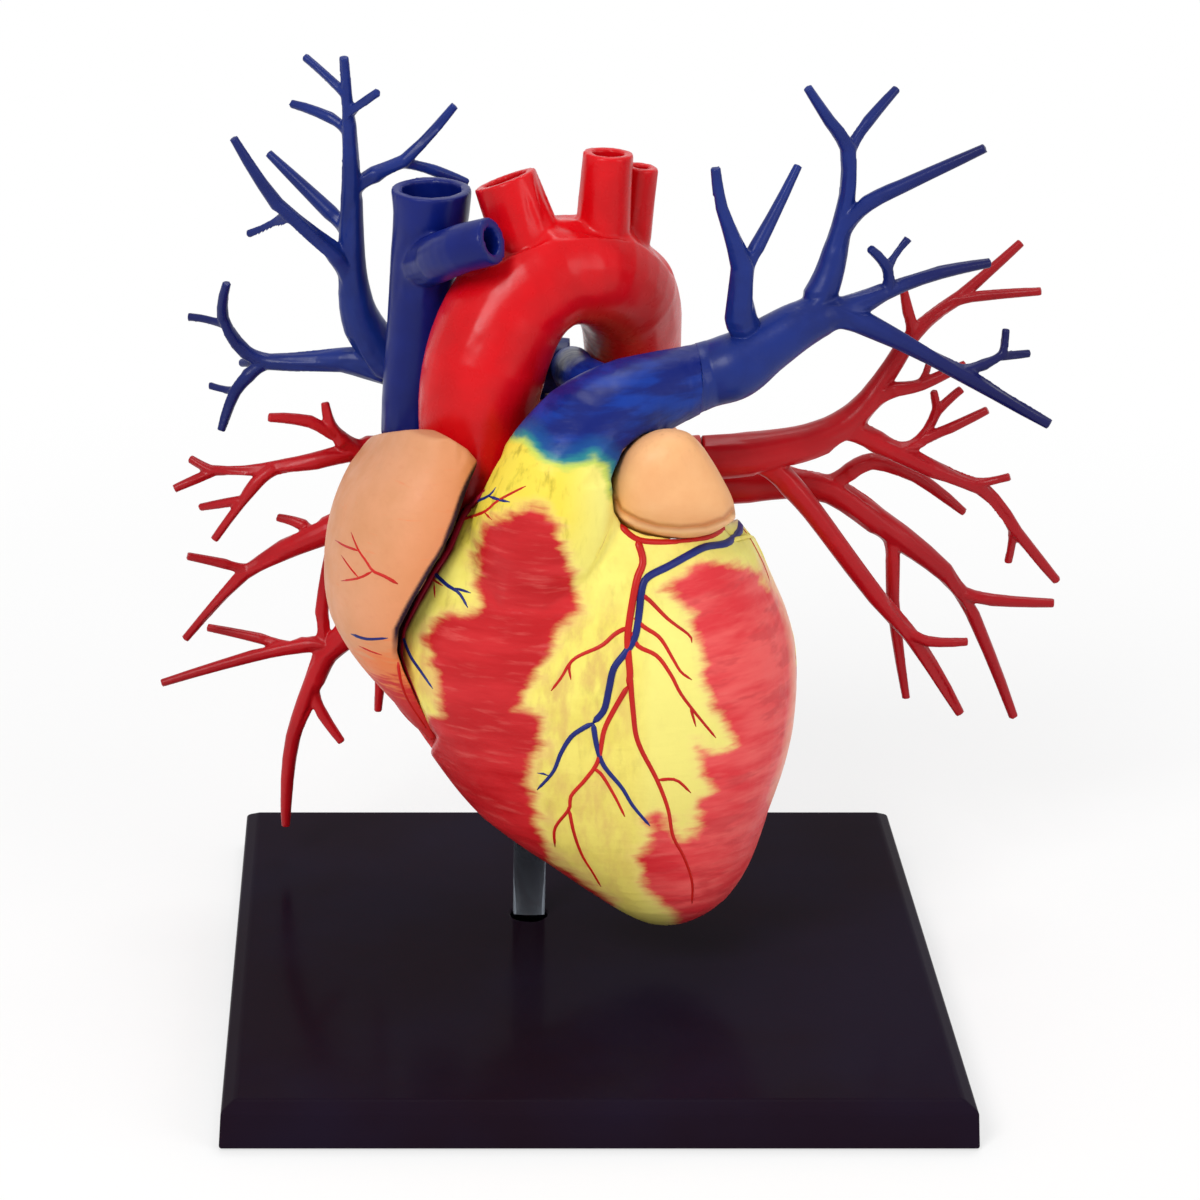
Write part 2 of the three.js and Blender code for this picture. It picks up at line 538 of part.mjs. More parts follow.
// Round rod between two points
function rod(radius, from, to, sides = PEG_SIDES) {
  const start = new THREE.Vector3(...from);
  const end = new THREE.Vector3(...to);
  const along = end.clone().sub(start);
  const geometry = new THREE.CylinderGeometry(radius, radius, along.length(), sides);
  geometry.applyQuaternion(new THREE.Quaternion().setFromUnitVectors(
    new THREE.Vector3(0, 1, 0),
    along.clone().normalize(),
  ));
  const middle = start.add(end).divideScalar(2);
  geometry.translate(middle.x, middle.y, middle.z);
  return toSolid(geometry);
}

// Height seen along the pull, which is the same for points in line with it
function pullHeight(y, z) {
  return z + PULL_SLOPE * y;
}

// Flat outline run out to a depth, without the points that lie on a straight edge
function slab(outline, depth) {
  const corners = outline.filter(([x, y], index) => {
    const [px, py] = outline.at(index - 1);
    const [nx, ny] = outline[(index + 1) % outline.length];
    return Math.abs((x - px) * (ny - py) - (y - py) * (nx - px)) > 1e-6;
  });
  const shape = new THREE.Shape(corners.map(([x, y]) => new THREE.Vector2(x, y)));
  return new THREE.ExtrudeGeometry(shape, { depth, bevelEnabled: false });
}

// Solid with an outline of x and pull height, run along the pull from one depth to another
function pullPrism(outline, front, back) {
  const geometry = slab(outline, back - front);
  geometry.translate(0, 0, -back);
  geometry.applyMatrix4(new THREE.Matrix4().set(
    1, 0, 0, 0,
    0, 0, -1, 0,
    0, 1, PULL_SLOPE, 0,
    0, 0, 0, 1,
  ));
  return toSolid(geometry);
}

// Solid with an outline of y and z, run across the heart
function sideProfile(outline) {
  const geometry = slab(outline, 2 * REACH);
  geometry.translate(0, 0, -REACH);
  geometry.applyMatrix4(new THREE.Matrix4().set(
    0, 0, 1, 0,
    1, 0, 0, 0,
    0, 1, 0, 0,
    0, 0, 0, 1,
  ));
  return toSolid(geometry);
}

// Step along the pull, for pegs and for the auricle
function pulled([x, y, z], forwards) {
  return [x, y - forwards, z + PULL_SLOPE * forwards];
}

// Everything under the crown seam, raised by lift
function underCrown(lift) {
  const seam = (x) => CROWN_HEIGHT + CROWN_SLOPE * x + lift;
  const outline = [[-REACH, -REACH], [REACH, -REACH], [REACH, seam(REACH)], [-REACH, seam(-REACH)]];
  return pullPrism(outline, -REACH, REACH);
}

function splitDepth(z) {
  return SPLIT_AT_APEX + SPLIT_SLOPE * Math.min(z, SPLIT_TOP);
}

// Everything in front of the seam between the walls, moved back by shift
function beforeSplit(shift) {
  return sideProfile([
    [-REACH, -REACH], [splitDepth(-REACH) + shift, -REACH], [splitDepth(SPLIT_TOP) + shift, SPLIT_TOP],
    [splitDepth(SPLIT_TOP) + shift, REACH], [-REACH, REACH],
  ]);
}

// Room for the right atrium in front of the heart, seen along the pull, moved left by shift
function atriumRoom(shift) {
  const edge = [ATRIUM_FOOT, ...ATRIUM_GROOVE.toReversed(), ATRIUM_FLAP_TIP, ATRIUM_SHOULDER];
  const outline = [
    [-REACH, ATRIUM_FOOT[1]],
    ...edge.map(([x, height]) => [x - shift, height]),
    [-REACH, ATRIUM_TOP],
  ];
  return pullPrism(outline, -REACH, REACH);
}

function auricleOutline(share, grow = 0) {
  const [coreX, coreHeight] = AURICLE_CORE;
  return AURICLE_OUTLINE.map(([x, height]) => {
    const away = new THREE.Vector2(x - coreX, height - coreHeight);
    away.setLength(away.length() * share + grow);
    return [coreX + away.x, CROWN_HEIGHT + coreHeight + away.y];
  });
}

// Column that the rising aorta needs: it never narrows on the way up
function aortaColumn(clearance, reachBack) {
  const rising = AORTA.slice(0, ASCENDING_POINTS);
  const sections = rising.map(([, , z], index) => {
    const below = rising.slice(0, index + 1);
    const front = Math.min(...below.map(([, py, , radius]) => py - radius)) - clearance;
    const back = Math.max(...below.map(([, py, , radius]) => py + radius)) + clearance;
    return {
      z,
      left: Math.min(...below.map(([px, , , radius]) => px - radius)) - clearance,
      right: Math.max(...below.map(([px, , , radius]) => px + radius)) + clearance,
      middle: (front + back) / 2,
      front: (back - front) / 2,
      back: (back - front) / 2,
    };
  });
  const column = body(sections);
  if (!reachBack) {
    return column;
  }
  const edge = (name) => sections.map((section) => [section[name], pullHeight(section.middle, section.z)]);
  const outline = [...edge('left'), ...edge('right').reverse()];
  const depth = Math.min(...sections.map((section) => section.middle));
  return column.add(pullPrism(outline, depth, reachBack));
}

function wallPegPoint([x, z]) {
  return [x, splitDepth(z), z];
}

function wallPeg(point, radius, length) {
  const seat = wallPegPoint(point);
  return rod(radius, pulled(seat, -WALL_PEG_LENGTH), pulled(seat, length));
}

function basePlate() {
  const square = (half, z) => [[-half, -half], [half, -half], [half, half], [-half, half]]
    .map(([x, y]) => new THREE.Vector3(x, y, z));
  const half = BASE_SIDE / 2;
  const topHalf = half - BASE_DRAFT - BASE_BEVEL_WIDTH;
  const outer = skin(
    [square(half, 0), square(half - BASE_DRAFT, BASE_HEIGHT - BASE_BEVEL_DROP), square(topHalf, BASE_HEIGHT)],
    new THREE.Vector3(0, 0, 0),
    new THREE.Vector3(0, 0, BASE_HEIGHT),
  );
  const inner = half - BASE_DRAFT - BASE_WALL;
  const pocket = box([-inner, -inner, -1], [inner, inner, BASE_HEIGHT - BASE_WALL]);
  const ribTop = BASE_HEIGHT - BASE_WALL / 2;
  const rib = RIB_THICKNESS / 2;
  const reach = inner + BASE_WALL / 2;
  const ribs = [-RIB_SPACING, 0, RIB_SPACING].flatMap((offset) => [
    box([-reach, offset - rib, RIB_RELIEF], [reach, offset + rib, ribTop]),
    box([offset - rib, -reach, RIB_RELIEF], [offset + rib, reach, ribTop]),
  ]);
  const pad = rod(BASE_PAD_RADIUS, [0, 0, 0], [0, 0, ribTop], ROUND_SIDES);
  const bossRadius = POST_RADIUS + PEG_FIT + POST_SOCKET_WALL;
  const boss = rod(bossRadius, [POST_X, POST_Y, 0], [POST_X, POST_Y, ribTop], ROUND_SIDES);
  const socket = rod(
    POST_RADIUS + PEG_FIT,
    [POST_X, POST_Y, BASE_SOCKET_FLOOR],
    [POST_X, POST_Y, BASE_HEIGHT + 1],
    ROUND_SIDES,
  );
  return joined([outer.subtract(pocket), ...ribs, pad, boss]).subtract(socket);
}

// Rod from the base's socket to the one in the heart
function post() {
  const heartZ = BASE_HEIGHT + APEX_GAP;
  const low = BASE_SOCKET_FLOOR + SEAT_GAP;
  const high = heartZ + HEART_SOCKET_TOP - SEAT_GAP;
  return rod(POST_RADIUS, [POST_X, POST_Y, low], [POST_X, POST_Y, high], ROUND_SIDES);
}

function ventricles(inset = 0) {
  if (inset === 0) {
    return body(VENTRICLES, 0, APEX_TIP);
  }
  return body(VENTRICLES.filter((section) => section.z > inset), inset);
}

function frontWall() {
  const whole = ventricles();
  const lower = whole.intersect(beforeSplit(-SEAT_GAP)).intersect(underCrown(0));
  const upper = whole.subtract(underCrown(-VENTRICLE_WALL))
    .intersect(box([-REACH, -REACH, -REACH], [REACH, SHELF_DEPTH, REACH]));
  const trunk = tube(TRUNK).intersect(box([-REACH, -REACH, 0], [TRUNK_END, REACH, REACH]));
  const shell = joined([lower, upper, trunk, tube(RIGHT_STUB, VESSEL_SIDES)])
    .subtract(ventricles(VENTRICLE_WALL).intersect(underCrown(0)))
    .subtract(valvePlateRoom())
    .subtract(atriumRoom(0))
    .subtract(pullPrism(auricleOutline(1, SEAT_GAP), -REACH, REACH))
    .subtract(aortaColumn(AORTA_GAP, REACH));
  const [, arteryY, arteryZ] = ARTERY_JOINT[1];
  const [hollowEnd] = OUTFLOW[OUTFLOW.length - 1];
  const socket = rod(
    ARTERY_SPIGOT_RADIUS + PEG_FIT,
    [hollowEnd - TRUNK_WALL, arteryY, arteryZ],
    [TRUNK_END + 1, arteryY, arteryZ],
  );
  const stubBore = RIGHT_STUB.map(([x, y, z]) => [x, y, z, RIGHT_STUB_BORE]);
  const bores = [tube(OUTFLOW, BORE_SIDES), socket, tube(bore(stubBore, 0, 0, 1), PEG_SIDES)];
  const pegHoles = WALL_PEGS.map((point) => (
    wallPeg(point, WALL_PEG_RADIUS + PEG_FIT, WALL_PEG_LENGTH + SEAT_GAP)
  ));
  return shell.subtract(joined([...bores, ...pegHoles]));
}

// Slot behind the shelf that the valve plate fills
function valvePlateRoom() {
  return underCrown(VALVE_PLATE_THICKNESS + SEAT_GAP)
    .subtract(underCrown(-SEAT_GAP))
    .intersect(box([-REACH, SHELF_DEPTH, -REACH], [REACH, REACH, REACH]));
}

// Column in the heart's floor that stands on the post
function postBoss() {
  const radius = POST_RADIUS + PEG_FIT + HEART_SOCKET_WALL;
  return rod(radius, [0, 0, 0], [0, 0, HEART_SOCKET_TOP + HEART_SOCKET_ROOF], ROUND_SIDES);
}

function papillaryMuscles() {
  return joined(PAPILLARY_MUSCLES.map((route) => tube(route, PEG_SIDES)));
}

function backWall() {
  const outer = ventricles().subtract(beforeSplit(0)).intersect(underCrown(-SEAT_GAP));
  const hollow = ventricles(VENTRICLE_WALL);
  const inner = postBoss().add(papillaryMuscles()).intersect(outer);
  const socket = rod(POST_RADIUS + PEG_FIT, [0, 0, -APEX_GAP], [0, 0, HEART_SOCKET_TOP], ROUND_SIDES);
  const pegs = WALL_PEGS.map((point) => wallPeg(point, WALL_PEG_RADIUS, WALL_PEG_LENGTH));
  return joined([outer.subtract(hollow), inner, ...pegs])
    .subtract(socket)
    .subtract(atriumRoom(0).intersect(beforeSplit(0)));
}

// Wall between the ventricles, bowed towards the right one
function septum() {
  const rightFace = SEPTUM_FACE.map(([x, height]) => [x + SEPTUM_THICKNESS, height]);
  const outline = [...SEPTUM_FACE, ...rightFace.reverse()];
  const floor = pullHeight(splitDepth(VENTRICLE_WALL), VENTRICLE_WALL) + SEAT_GAP;
  const aboveFloor = [[-REACH, floor], [REACH, floor], [REACH, REACH], [-REACH, REACH]];
  return pullPrism(outline, -REACH, REACH)
    .intersect(ventricles(VENTRICLE_WALL + SEAT_GAP))
    .intersect(underCrown(-SEAT_GAP))
    .intersect(pullPrism(aboveFloor, -REACH, REACH))
    .subtract(papillaryMuscles());
}

function ovalRod(opening, grow, low, high) {
  const geometry = new THREE.CylinderGeometry(1, 1, high - low, VESSEL_SIDES);
  geometry.rotateX(Math.PI / 2);
  geometry.scale(opening.wide + grow, opening.deep + grow, 1);
  geometry.translate(opening.x, opening.y, (low + high) / 2);
  return toSolid(geometry);
}

function plateTopAt(x, y) {
  return CROWN_HEIGHT + CROWN_SLOPE * x - PULL_SLOPE * y + VALVE_PLATE_THICKNESS;
}

function valvePlate() {
  const [rootX, rootY] = AORTA[0];
  const collarRadius = AORTA[0][3] - AORTA_WALL - PEG_FIT;
  const collarTop = plateTopAt(rootX, rootY) + AORTIC_COLLAR_HEIGHT;
  const plate = ventricles()
    .intersect(underCrown(VALVE_PLATE_THICKNESS))
    .subtract(underCrown(0))
    .intersect(box([-REACH, SHELF_DEPTH + SEAT_GAP, -REACH], [REACH, REACH, REACH]));
  const collarLow = collarTop - 2 * AORTIC_COLLAR_HEIGHT;
  const collar = rod(collarRadius, [rootX, rootY, collarLow], [rootX, rootY, collarTop], ROUND_SIDES);
  const holes = joined([
    rod(AORTIC_BORE, [rootX, rootY, 0], [rootX, rootY, collarTop + 1], ROUND_SIDES),
    ovalRod(MITRAL, 0, 0, REACH),
    ovalRod(TRICUSPID, 0, 0, REACH),
  ]);
  return plate.add(collar.subtract(underCrown(0)))
    .subtract(holes)
    .subtract(atriumRoom(-SEAT_GAP))
    .subtract(pullPrism(auricleOutline(1, SEAT_GAP), -REACH, REACH))
    .subtract(inferiorCavaRoom());
}

// Ring with leaflets that hang down and draw in, parted by slits
function hangingValve(opening) {
  const top = plateTopAt(opening.x, opening.y);
  const fit = 1 - PEG_FIT / opening.wide;
  const thin = LEAFLET_THICKNESS / opening.wide;
  const profile = [
    [fit - thin, opening.deep], [fit, opening.deep], [fit, -VALVE_PLATE_THICKNESS],
    [LEAFLET_MOUTH + thin, -opening.drop], [LEAFLET_MOUTH, -opening.drop],
    [fit - thin, -VALVE_PLATE_THICKNESS], [fit - thin, opening.deep],
  ].map(([radius, z]) => new THREE.Vector2(radius, z));
  const geometry = new THREE.LatheGeometry(profile.reverse(), VESSEL_SIDES);
  geometry.rotateX(Math.PI / 2);
  geometry.scale(opening.wide, opening.deep, 1);
  geometry.translate(opening.x, opening.y, top);
  const slits = [];
  for (let leaflet = 0; leaflet < opening.leaflets; leaflet += 1) {
    const cut = new THREE.BoxGeometry(REACH, LEAFLET_SLIT, opening.drop);
    cut.translate(REACH / 2, 0, -VALVE_PLATE_THICKNESS - opening.drop / 2 - 1);
    cut.rotateZ((leaflet / opening.leaflets) * 2 * Math.PI + LEAFLET_TURN);
    cut.translate(opening.x, opening.y, top);
    slits.push(toSolid(cut));
  }
  return toSolid(geometry).subtract(joined(slits)).intersect(underCrown(VALVE_PLATE_THICKNESS));
}

// Ring with cups that open upwards and meet in the middle
function cuppedValve(x, y, z, radius) {
  const low = z - radius * RING_BELOW;
  const high = z + radius * RING_ABOVE;
  const ring = rod(radius, [x, y, low], [x, y, high], VESSEL_SIDES);
  const cup = radius * CUP_SIZE;
  const cups = [];
  const hollows = [];
  for (let index = 0; index < CUP_COUNT; index += 1) {
    const angle = (index / CUP_COUNT) * 2 * Math.PI + Math.PI / 2;
    const centre = [x + Math.cos(angle) * radius * CUP_OFFSET, y + Math.sin(angle) * radius * CUP_OFFSET, z];
    const ball = (size) => {
      const geometry = new THREE.SphereGeometry(size, ...CUP_FACES);
      geometry.rotateX(Math.PI / 2);
      geometry.translate(...centre);
      return toSolid(geometry);
    };
    const mouth = rod(cup - CUP_SKIN, centre, [centre[0], centre[1], z + radius], CUP_FACES[0]);
    cups.push(ball(cup));
    hollows.push(ball(cup - CUP_SKIN), mouth);
  }
  const inside = rod(radius - LEAFLET_THICKNESS, [x, y, z - radius], [x, y, z + radius], VESSEL_SIDES);
  return ring.subtract(inside)
    .add(joined(cups).intersect(ring))
    .subtract(joined(hollows));
}

// Straight spigot at a lung vessel's root and the blind hole that takes it
function spigotRadius(stem) {
  return Math.min(stem[0][3] - SPIGOT_SHOULDER, SPIGOT_RADIUS);
}

function spigot(stem, side) {
  const [x, y, z] = stem[0];
  return rod(spigotRadius(stem), [x + side, y, z], [x - side * SPIGOT_LENGTH, y, z]);
}

function spigotHole(stem, side) {
  const [x, y, z] = stem[0];
  const inner = x - side * (SPIGOT_LENGTH + SEAT_GAP);
  return rod(spigotRadius(stem) + PEG_FIT, [x + side * SPIGOT_LENGTH, y, z], [inner, y, z]);
}

// Collar on the left atrium round a vessel's root
function collar(stem, side, inward) {
  const [x, y, z, radius] = stem[0];
  return rod(radius, [x - side * SEAT_GAP, y, z], [x - side * inward, y, z], BORE_SIDES);
}

function leftAtrium() {
  const shell = body(LEFT_ATRIUM);
  const chamber = body(LEFT_ATRIUM.slice(0, -1).map((section) => ({
    ...section,
    left: section.left + LEFT_ATRIUM_SIDE_WALL - ATRIUM_WALL,
    right: section.right - LEFT_ATRIUM_SIDE_WALL + ATRIUM_WALL,
    front: section.front - LEFT_ATRIUM_FRONT_WALL + ATRIUM_WALL,
    z: section.z - ATRIUM_WALL,
  })), ATRIUM_WALL);
  const railY = RIGHT_PULMONARY_ARTERY.stem[0][1];
  const saddle = box(
    [SADDLE_LEFT, railY - SADDLE_WIDTH / 2, SADDLE_TOP - SADDLE_DEPTH],
    [SADDLE_RIGHT, railY + SADDLE_WIDTH / 2, SADDLE_TOP],
  );
  const groove = box(
    [SADDLE_LEFT - REACH, railY - RAIL_WIDTH / 2 - PEG_FIT, SADDLE_TOP - RAIL_DEPTH - SEAT_GAP],
    [SADDLE_RIGHT - SADDLE_STOP, railY + RAIL_WIDTH / 2 + PEG_FIT, SADDLE_TOP + 1],
  );
  const plateBack = RIGHT_ATRIUM_BACK + SEAT_GAP + SEPTAL_PLATE_THICKNESS;
  const plate = septalPlate(RIGHT_ATRIUM_BACK + SEAT_GAP, plateBack, ATRIUM_WALL);
  const plugLow = ATRIUM_HOLLOW_LOW + PEG_FIT + PULL_SLOPE * SEPTAL_PLUG_DEPTH;
  const plugHigh = ATRIUM_HOLLOW_HIGH - PEG_FIT;
  const plug = septalPlate(RIGHT_ATRIUM_BACK - SEPTAL_PLUG_DEPTH, plateBack, ATRIUM_WALL + PEG_FIT)
    .intersect(box([-REACH, -REACH, plugLow], [ATRIUM_HOLLOW_RIGHT - PEG_FIT, REACH, plugHigh]));
  const lugTop = cavaLugTop();
  const lug = rod(CAVA_LUG_RADIUS, cavaPinPoint(lugTop - CAVA_LUG_LENGTH), cavaPinPoint(lugTop), ROUND_SIDES)
    .intersect(box([-REACH, RIGHT_ATRIUM_BACK + SEAT_GAP, 0], [REACH, REACH, REACH]));
  const bossLow = INFERIOR_CAVA_HIGH + SEAT_GAP;
  const bossTop = bossLow + 2 * INFERIOR_CAVA_PIN_LENGTH;
  const bossRadius = INFERIOR_CAVA_PIN_RADIUS + PEG_FIT + CAVA_WALL;
  const boss = rod(bossRadius, inferiorCavaPoint(bossLow), inferiorCavaPoint(bossTop), VESSEL_SIDES);
  const pinHoles = joined([
    rod(CAVA_PIN_RADIUS + PEG_FIT, cavaPinPoint(lugTop - CAVA_PIN_LENGTH), cavaPinPoint(lugTop + 1)),
    rod(
      INFERIOR_CAVA_PIN_RADIUS + PEG_FIT,
      inferiorCavaPoint(bossLow - 1),
      inferiorCavaPoint(bossLow + INFERIOR_CAVA_PIN_LENGTH),
    ),
  ]);
  const right = [RIGHT_SUPERIOR_VEIN, RIGHT_MIDDLE_VEIN, RIGHT_INFERIOR_VEIN].map((tree) => tree.stem);
  const left = [LEFT_SUPERIOR_VEIN, LEFT_INFERIOR_VEIN].map((tree) => tree.stem);
  const holes = [...right.map((stem) => spigotHole(stem, -1)), ...left.map((stem) => spigotHole(stem, 1))];
  const collars = [
    ...right.map((stem) => collar(stem, -1, RIGHT_COLLAR_LENGTH)),
    ...left.map((stem) => collar(stem, 1, LEFT_COLLAR_LENGTH)),
  ];
  const rooms = [inferiorCavaRoom(), auriclePeg(PEG_FIT, SEAT_GAP)];
  return joined([shell, saddle, plate, plug, lug, boss, ...collars])
    .subtract(joined([chamber, groove, pinHoles, ...rooms, ...holes]))
    .subtract(underCrown(VALVE_PLATE_THICKNESS + SEAT_GAP))
    .subtract(aortaColumn(AORTA_GAP, 0))
    .subtract(aortaArchRoom());
}

function cavaPinPoint(z) {
  const [x] = SUPERIOR_CAVA[SUPERIOR_CAVA.length - 1];
  return [x, CAVA_PIN_Y, z];
}

// Top of the lug that holds the superior vena cava's pin, under the seam above the right atrium
function cavaLugTop() {
  return ATRIUM_TOP - PULL_SLOPE * (CAVA_PIN_Y + CAVA_LUG_RADIUS);
}

function inferiorCavaPoint(z) {
  return [INFERIOR_CAVA_X, INFERIOR_CAVA_Y, z];
}

// Room round the inferior vena cava, from below up to its seat
function inferiorCavaRoom() {
  const top = INFERIOR_CAVA_HIGH + SEAT_GAP;
  return rod(INFERIOR_CAVA_RADIUS + SEAT_GAP, inferiorCavaPoint(0), inferiorCavaPoint(top), VESSEL_SIDES);
}

// Room round the descending end of the aorta
function aortaArchRoom() {
  return tube(AORTA.slice(-3), VESSEL_SIDES, SEAT_GAP);
}

// Sections of the right atrium between the floor and the roof of its hollow
function hollowSections() {
  return RIGHT_ATRIUM.filter(({ z }) => z >= ATRIUM_HOLLOW_LOW && z <= ATRIUM_HOLLOW_HIGH);
}

// Plate with the right atrium's back outline, between two depths, drawn in by the inset
function septalPlate(front, back, inset) {
  const edge = hollowSections().map((section) => [section.left + inset + SEPTAL_EDGE, section.z]);
  const outline = [
    [SEPTAL_PLATE_RIGHT, edge[0][1]],
    ...edge,
    [SEPTAL_PLATE_RIGHT, edge[edge.length - 1][1]],
  ];
  const geometry = slab(outline, back - front);
  geometry.rotateX(Math.PI / 2);
  geometry.translate(0, back, 0);
  return toSolid(geometry);
}

function rightAtrium() {
  const wider = hollowSections().map((section) => ({
    ...section,
    right: ATRIUM_HOLLOW_RIGHT + ATRIUM_WALL,
    front: section.front - ATRIUM_HOLLOW_SPARE,
    back: REACH,
  }));
  return body(RIGHT_ATRIUM)
    .intersect(atriumRoom(SEAT_GAP))
    .intersect(box([-REACH, -REACH, -REACH], [REACH, RIGHT_ATRIUM_BACK, REACH]))
    .subtract(body(wider, ATRIUM_WALL))
    .subtract(underCrown(0).subtract(beforeSplit(-SEAT_GAP)))
    .subtract(aortaColumn(AORTA_GAP, REACH));
}

function auriclePeg(fit, past) {
  const [x, height] = AURICLE_CORE;
  const [depth] = AURICLE_STEPS[AURICLE_STEPS.length - 1];
  const end = AURICLE_FRONT + depth;
  const seat = [x, end, CROWN_HEIGHT + height - PULL_SLOPE * end];
  return rod(AURICLE_PEG_RADIUS + fit, pulled(seat, 1), pulled(seat, -AURICLE_PEG_LENGTH - past));
}

function leftAuricle() {
  const rings = AURICLE_STEPS.map(([depth, share]) => auricleOutline(share).map(([x, height]) => {
    const y = AURICLE_FRONT + depth;
    return new THREE.Vector3(x, y, height - PULL_SLOPE * y);
  }));
  const pillow = skin(rings, ringCentre(rings[0]), ringCentre(rings[rings.length - 1]));
  return pillow.add(auriclePeg(0, 0));
}

function aorta() {
  const outer = joined([
    tube(AORTA), tube(BRACHIOCEPHALIC_ARTERY), tube(CAROTID_ARTERY), tube(SUBCLAVIAN_ARTERY, BORE_SIDES),
  ]);
  const hollow = joined([
    tube(bore(AORTA, AORTA_WALL, 3, 2), BORE_SIDES),
    tube(bore(BRACHIOCEPHALIC_ARTERY, BRANCH_WALL, 0, 2), BORE_SIDES),
    tube(bore(CAROTID_ARTERY, BRANCH_WALL, 0, 2), BORE_SIDES),
    tube(bore(SUBCLAVIAN_ARTERY, BRANCH_WALL, 0, 2), PEG_SIDES),
  ]);
  return outer.subtract(hollow).subtract(underCrown(VALVE_PLATE_THICKNESS + SEAT_GAP));
}

function superiorCava() {
  const outer = joined([tube(SUPERIOR_CAVA), tube(LEFT_BRACHIOCEPHALIC_VEIN)]);
  const hollow = joined([
    tube(bore(SUPERIOR_CAVA, CAVA_WALL, 2, 2), BORE_SIDES),
    tube(bore(LEFT_BRACHIOCEPHALIC_VEIN, CAVA_WALL, 0, 2), BORE_SIDES),
  ]);
  const under = ATRIUM_TOP + SEAT_GAP;
  const cut = pullPrism([[-REACH, -REACH], [REACH, -REACH], [REACH, under], [-REACH, under]], -REACH, REACH);
  const pinLow = cavaLugTop() - CAVA_PIN_LENGTH + SEAT_GAP;
  const pin = rod(CAVA_PIN_RADIUS, cavaPinPoint(pinLow), cavaPinPoint(pinLow + 2 * CAVA_PIN_LENGTH))
    .subtract(hollow);
  return outer.subtract(hollow).subtract(cut).add(pin);
}

function inferiorCava() {
  const between = (radius, low, high, sides) => (
    rod(radius, inferiorCavaPoint(low), inferiorCavaPoint(high), sides)
  );
  const roof = INFERIOR_CAVA_HIGH - CAVA_WALL;
  const outer = between(INFERIOR_CAVA_RADIUS, INFERIOR_CAVA_LOW, INFERIOR_CAVA_HIGH, VESSEL_SIDES);
  const hollow = between(INFERIOR_CAVA_RADIUS - CAVA_WALL, INFERIOR_CAVA_LOW - 1, roof, VESSEL_SIDES);
  const pin = between(INFERIOR_CAVA_PIN_RADIUS, roof, INFERIOR_CAVA_HIGH + INFERIOR_CAVA_PIN_LENGTH);
  return outer.subtract(hollow).add(pin);
}

// Branching lung vessel with a spigot at its root
function vesselTree(tree) {
  const sides = (route) => (route[0][3] > STOUT_BRANCH ? STOUT_SIDES : BRANCH_SIDES);
  const branches = Object.values(tree).map((route) => tube(route, sides(route)));
  return joined(branches);
}

// Lung vessel cut square where it meets the heart, on the side that it leaves by
function rootedTree(tree, side) {
  const [rootX] = tree.stem[0];
  const [low, high] = side > 0 ? [rootX, REACH] : [-REACH, rootX];
  const room = box([low, -REACH, -REACH], [high, REACH, REACH]);
  return vesselTree(tree).intersect(room).add(spigot(tree.stem, side));
}

function rightPulmonaryArtery() {
  const [, y, z, radius] = RIGHT_PULMONARY_ARTERY.stem[0];
  const rail = box(
    [SADDLE_LEFT, y - RAIL_WIDTH / 2, SADDLE_TOP - RAIL_DEPTH],
    [SADDLE_RIGHT - SADDLE_STOP - SEAT_GAP, y + RAIL_WIDTH / 2, z - radius / 2],
  );
  return vesselTree(RIGHT_PULMONARY_ARTERY).add(rail);
}

function leftPulmonaryArtery() {
  const [x, y, z] = ARTERY_JOINT[1];
  const pin = rod(ARTERY_SPIGOT_RADIUS, [x + 1, y, z], [x - SPIGOT_LENGTH, y, z]);
  return vesselTree(LEFT_PULMONARY_ARTERY)
    .intersect(box([TRUNK_END + SEAT_GAP, -REACH, -REACH], [REACH, REACH, REACH]))
    .add(pin);
}

const heartGroup = new THREE.Group();
heartGroup.position.set(POST_X, POST_Y, BASE_HEIGHT + APEX_GAP);
const model = new THREE.Group();
model.add(heartGroup);

function place(group, name, solid, look) {
  const [color, roughness, metalness] = LOOKS[look];
  const material = new THREE.MeshStandardMaterial({ color, roughness, metalness });
  const mesh = new THREE.Mesh(toGeometry(solid), material);
  mesh.name = name;
  group.add(mesh);
}

const [aorticX, aorticY] = AORTA[0];
const aorticZ = plateTopAt(aorticX, aorticY) + AORTIC_VALVE_LIFT;
const aorticValve = cuppedValve(aorticX, aorticY, aorticZ, AORTIC_BORE - PEG_FIT);
const pulmonaryValve = cuppedValve(...PULMONARY_SEAT, PULMONARY_BORE - PEG_FIT);
place(model, 'base_plate', basePlate(), 'base');
place(model, 'post', post(), 'acrylic');
place(heartGroup, 'ventricle_front_wall', frontWall(), 'fat');
place(heartGroup, 'ventricle_back_wall', backWall(), 'muscle');
place(heartGroup, 'ventricular_septum', septum(), 'muscle');
place(heartGroup, 'valve_plate', valvePlate(), 'valve');
place(heartGroup, 'mitral_valve', hangingValve(MITRAL), 'valve');
place(heartGroup, 'tricuspid_valve', hangingValve(TRICUSPID), 'valve');
place(heartGroup, 'aortic_valve', aorticValve, 'valve');
place(heartGroup, 'pulmonary_valve', pulmonaryValve, 'valve');
place(heartGroup, 'left_atrium', leftAtrium(), 'atrium');
place(heartGroup, 'right_atrium', rightAtrium(), 'atrium');
place(heartGroup, 'left_auricle', leftAuricle(), 'atrium');
place(heartGroup, 'aorta', aorta(), 'artery');
place(heartGroup, 'superior_vena_cava', superiorCava(), 'blue');
place(heartGroup, 'inferior_vena_cava', inferiorCava(), 'blue');
place(heartGroup, 'right_pulmonary_artery', rightPulmonaryArtery(), 'blue');
place(heartGroup, 'left_pulmonary_artery', leftPulmonaryArtery(), 'blue');
place(heartGroup, 'left_superior_pulmonary_vein', rootedTree(LEFT_SUPERIOR_VEIN, 1), 'vein');
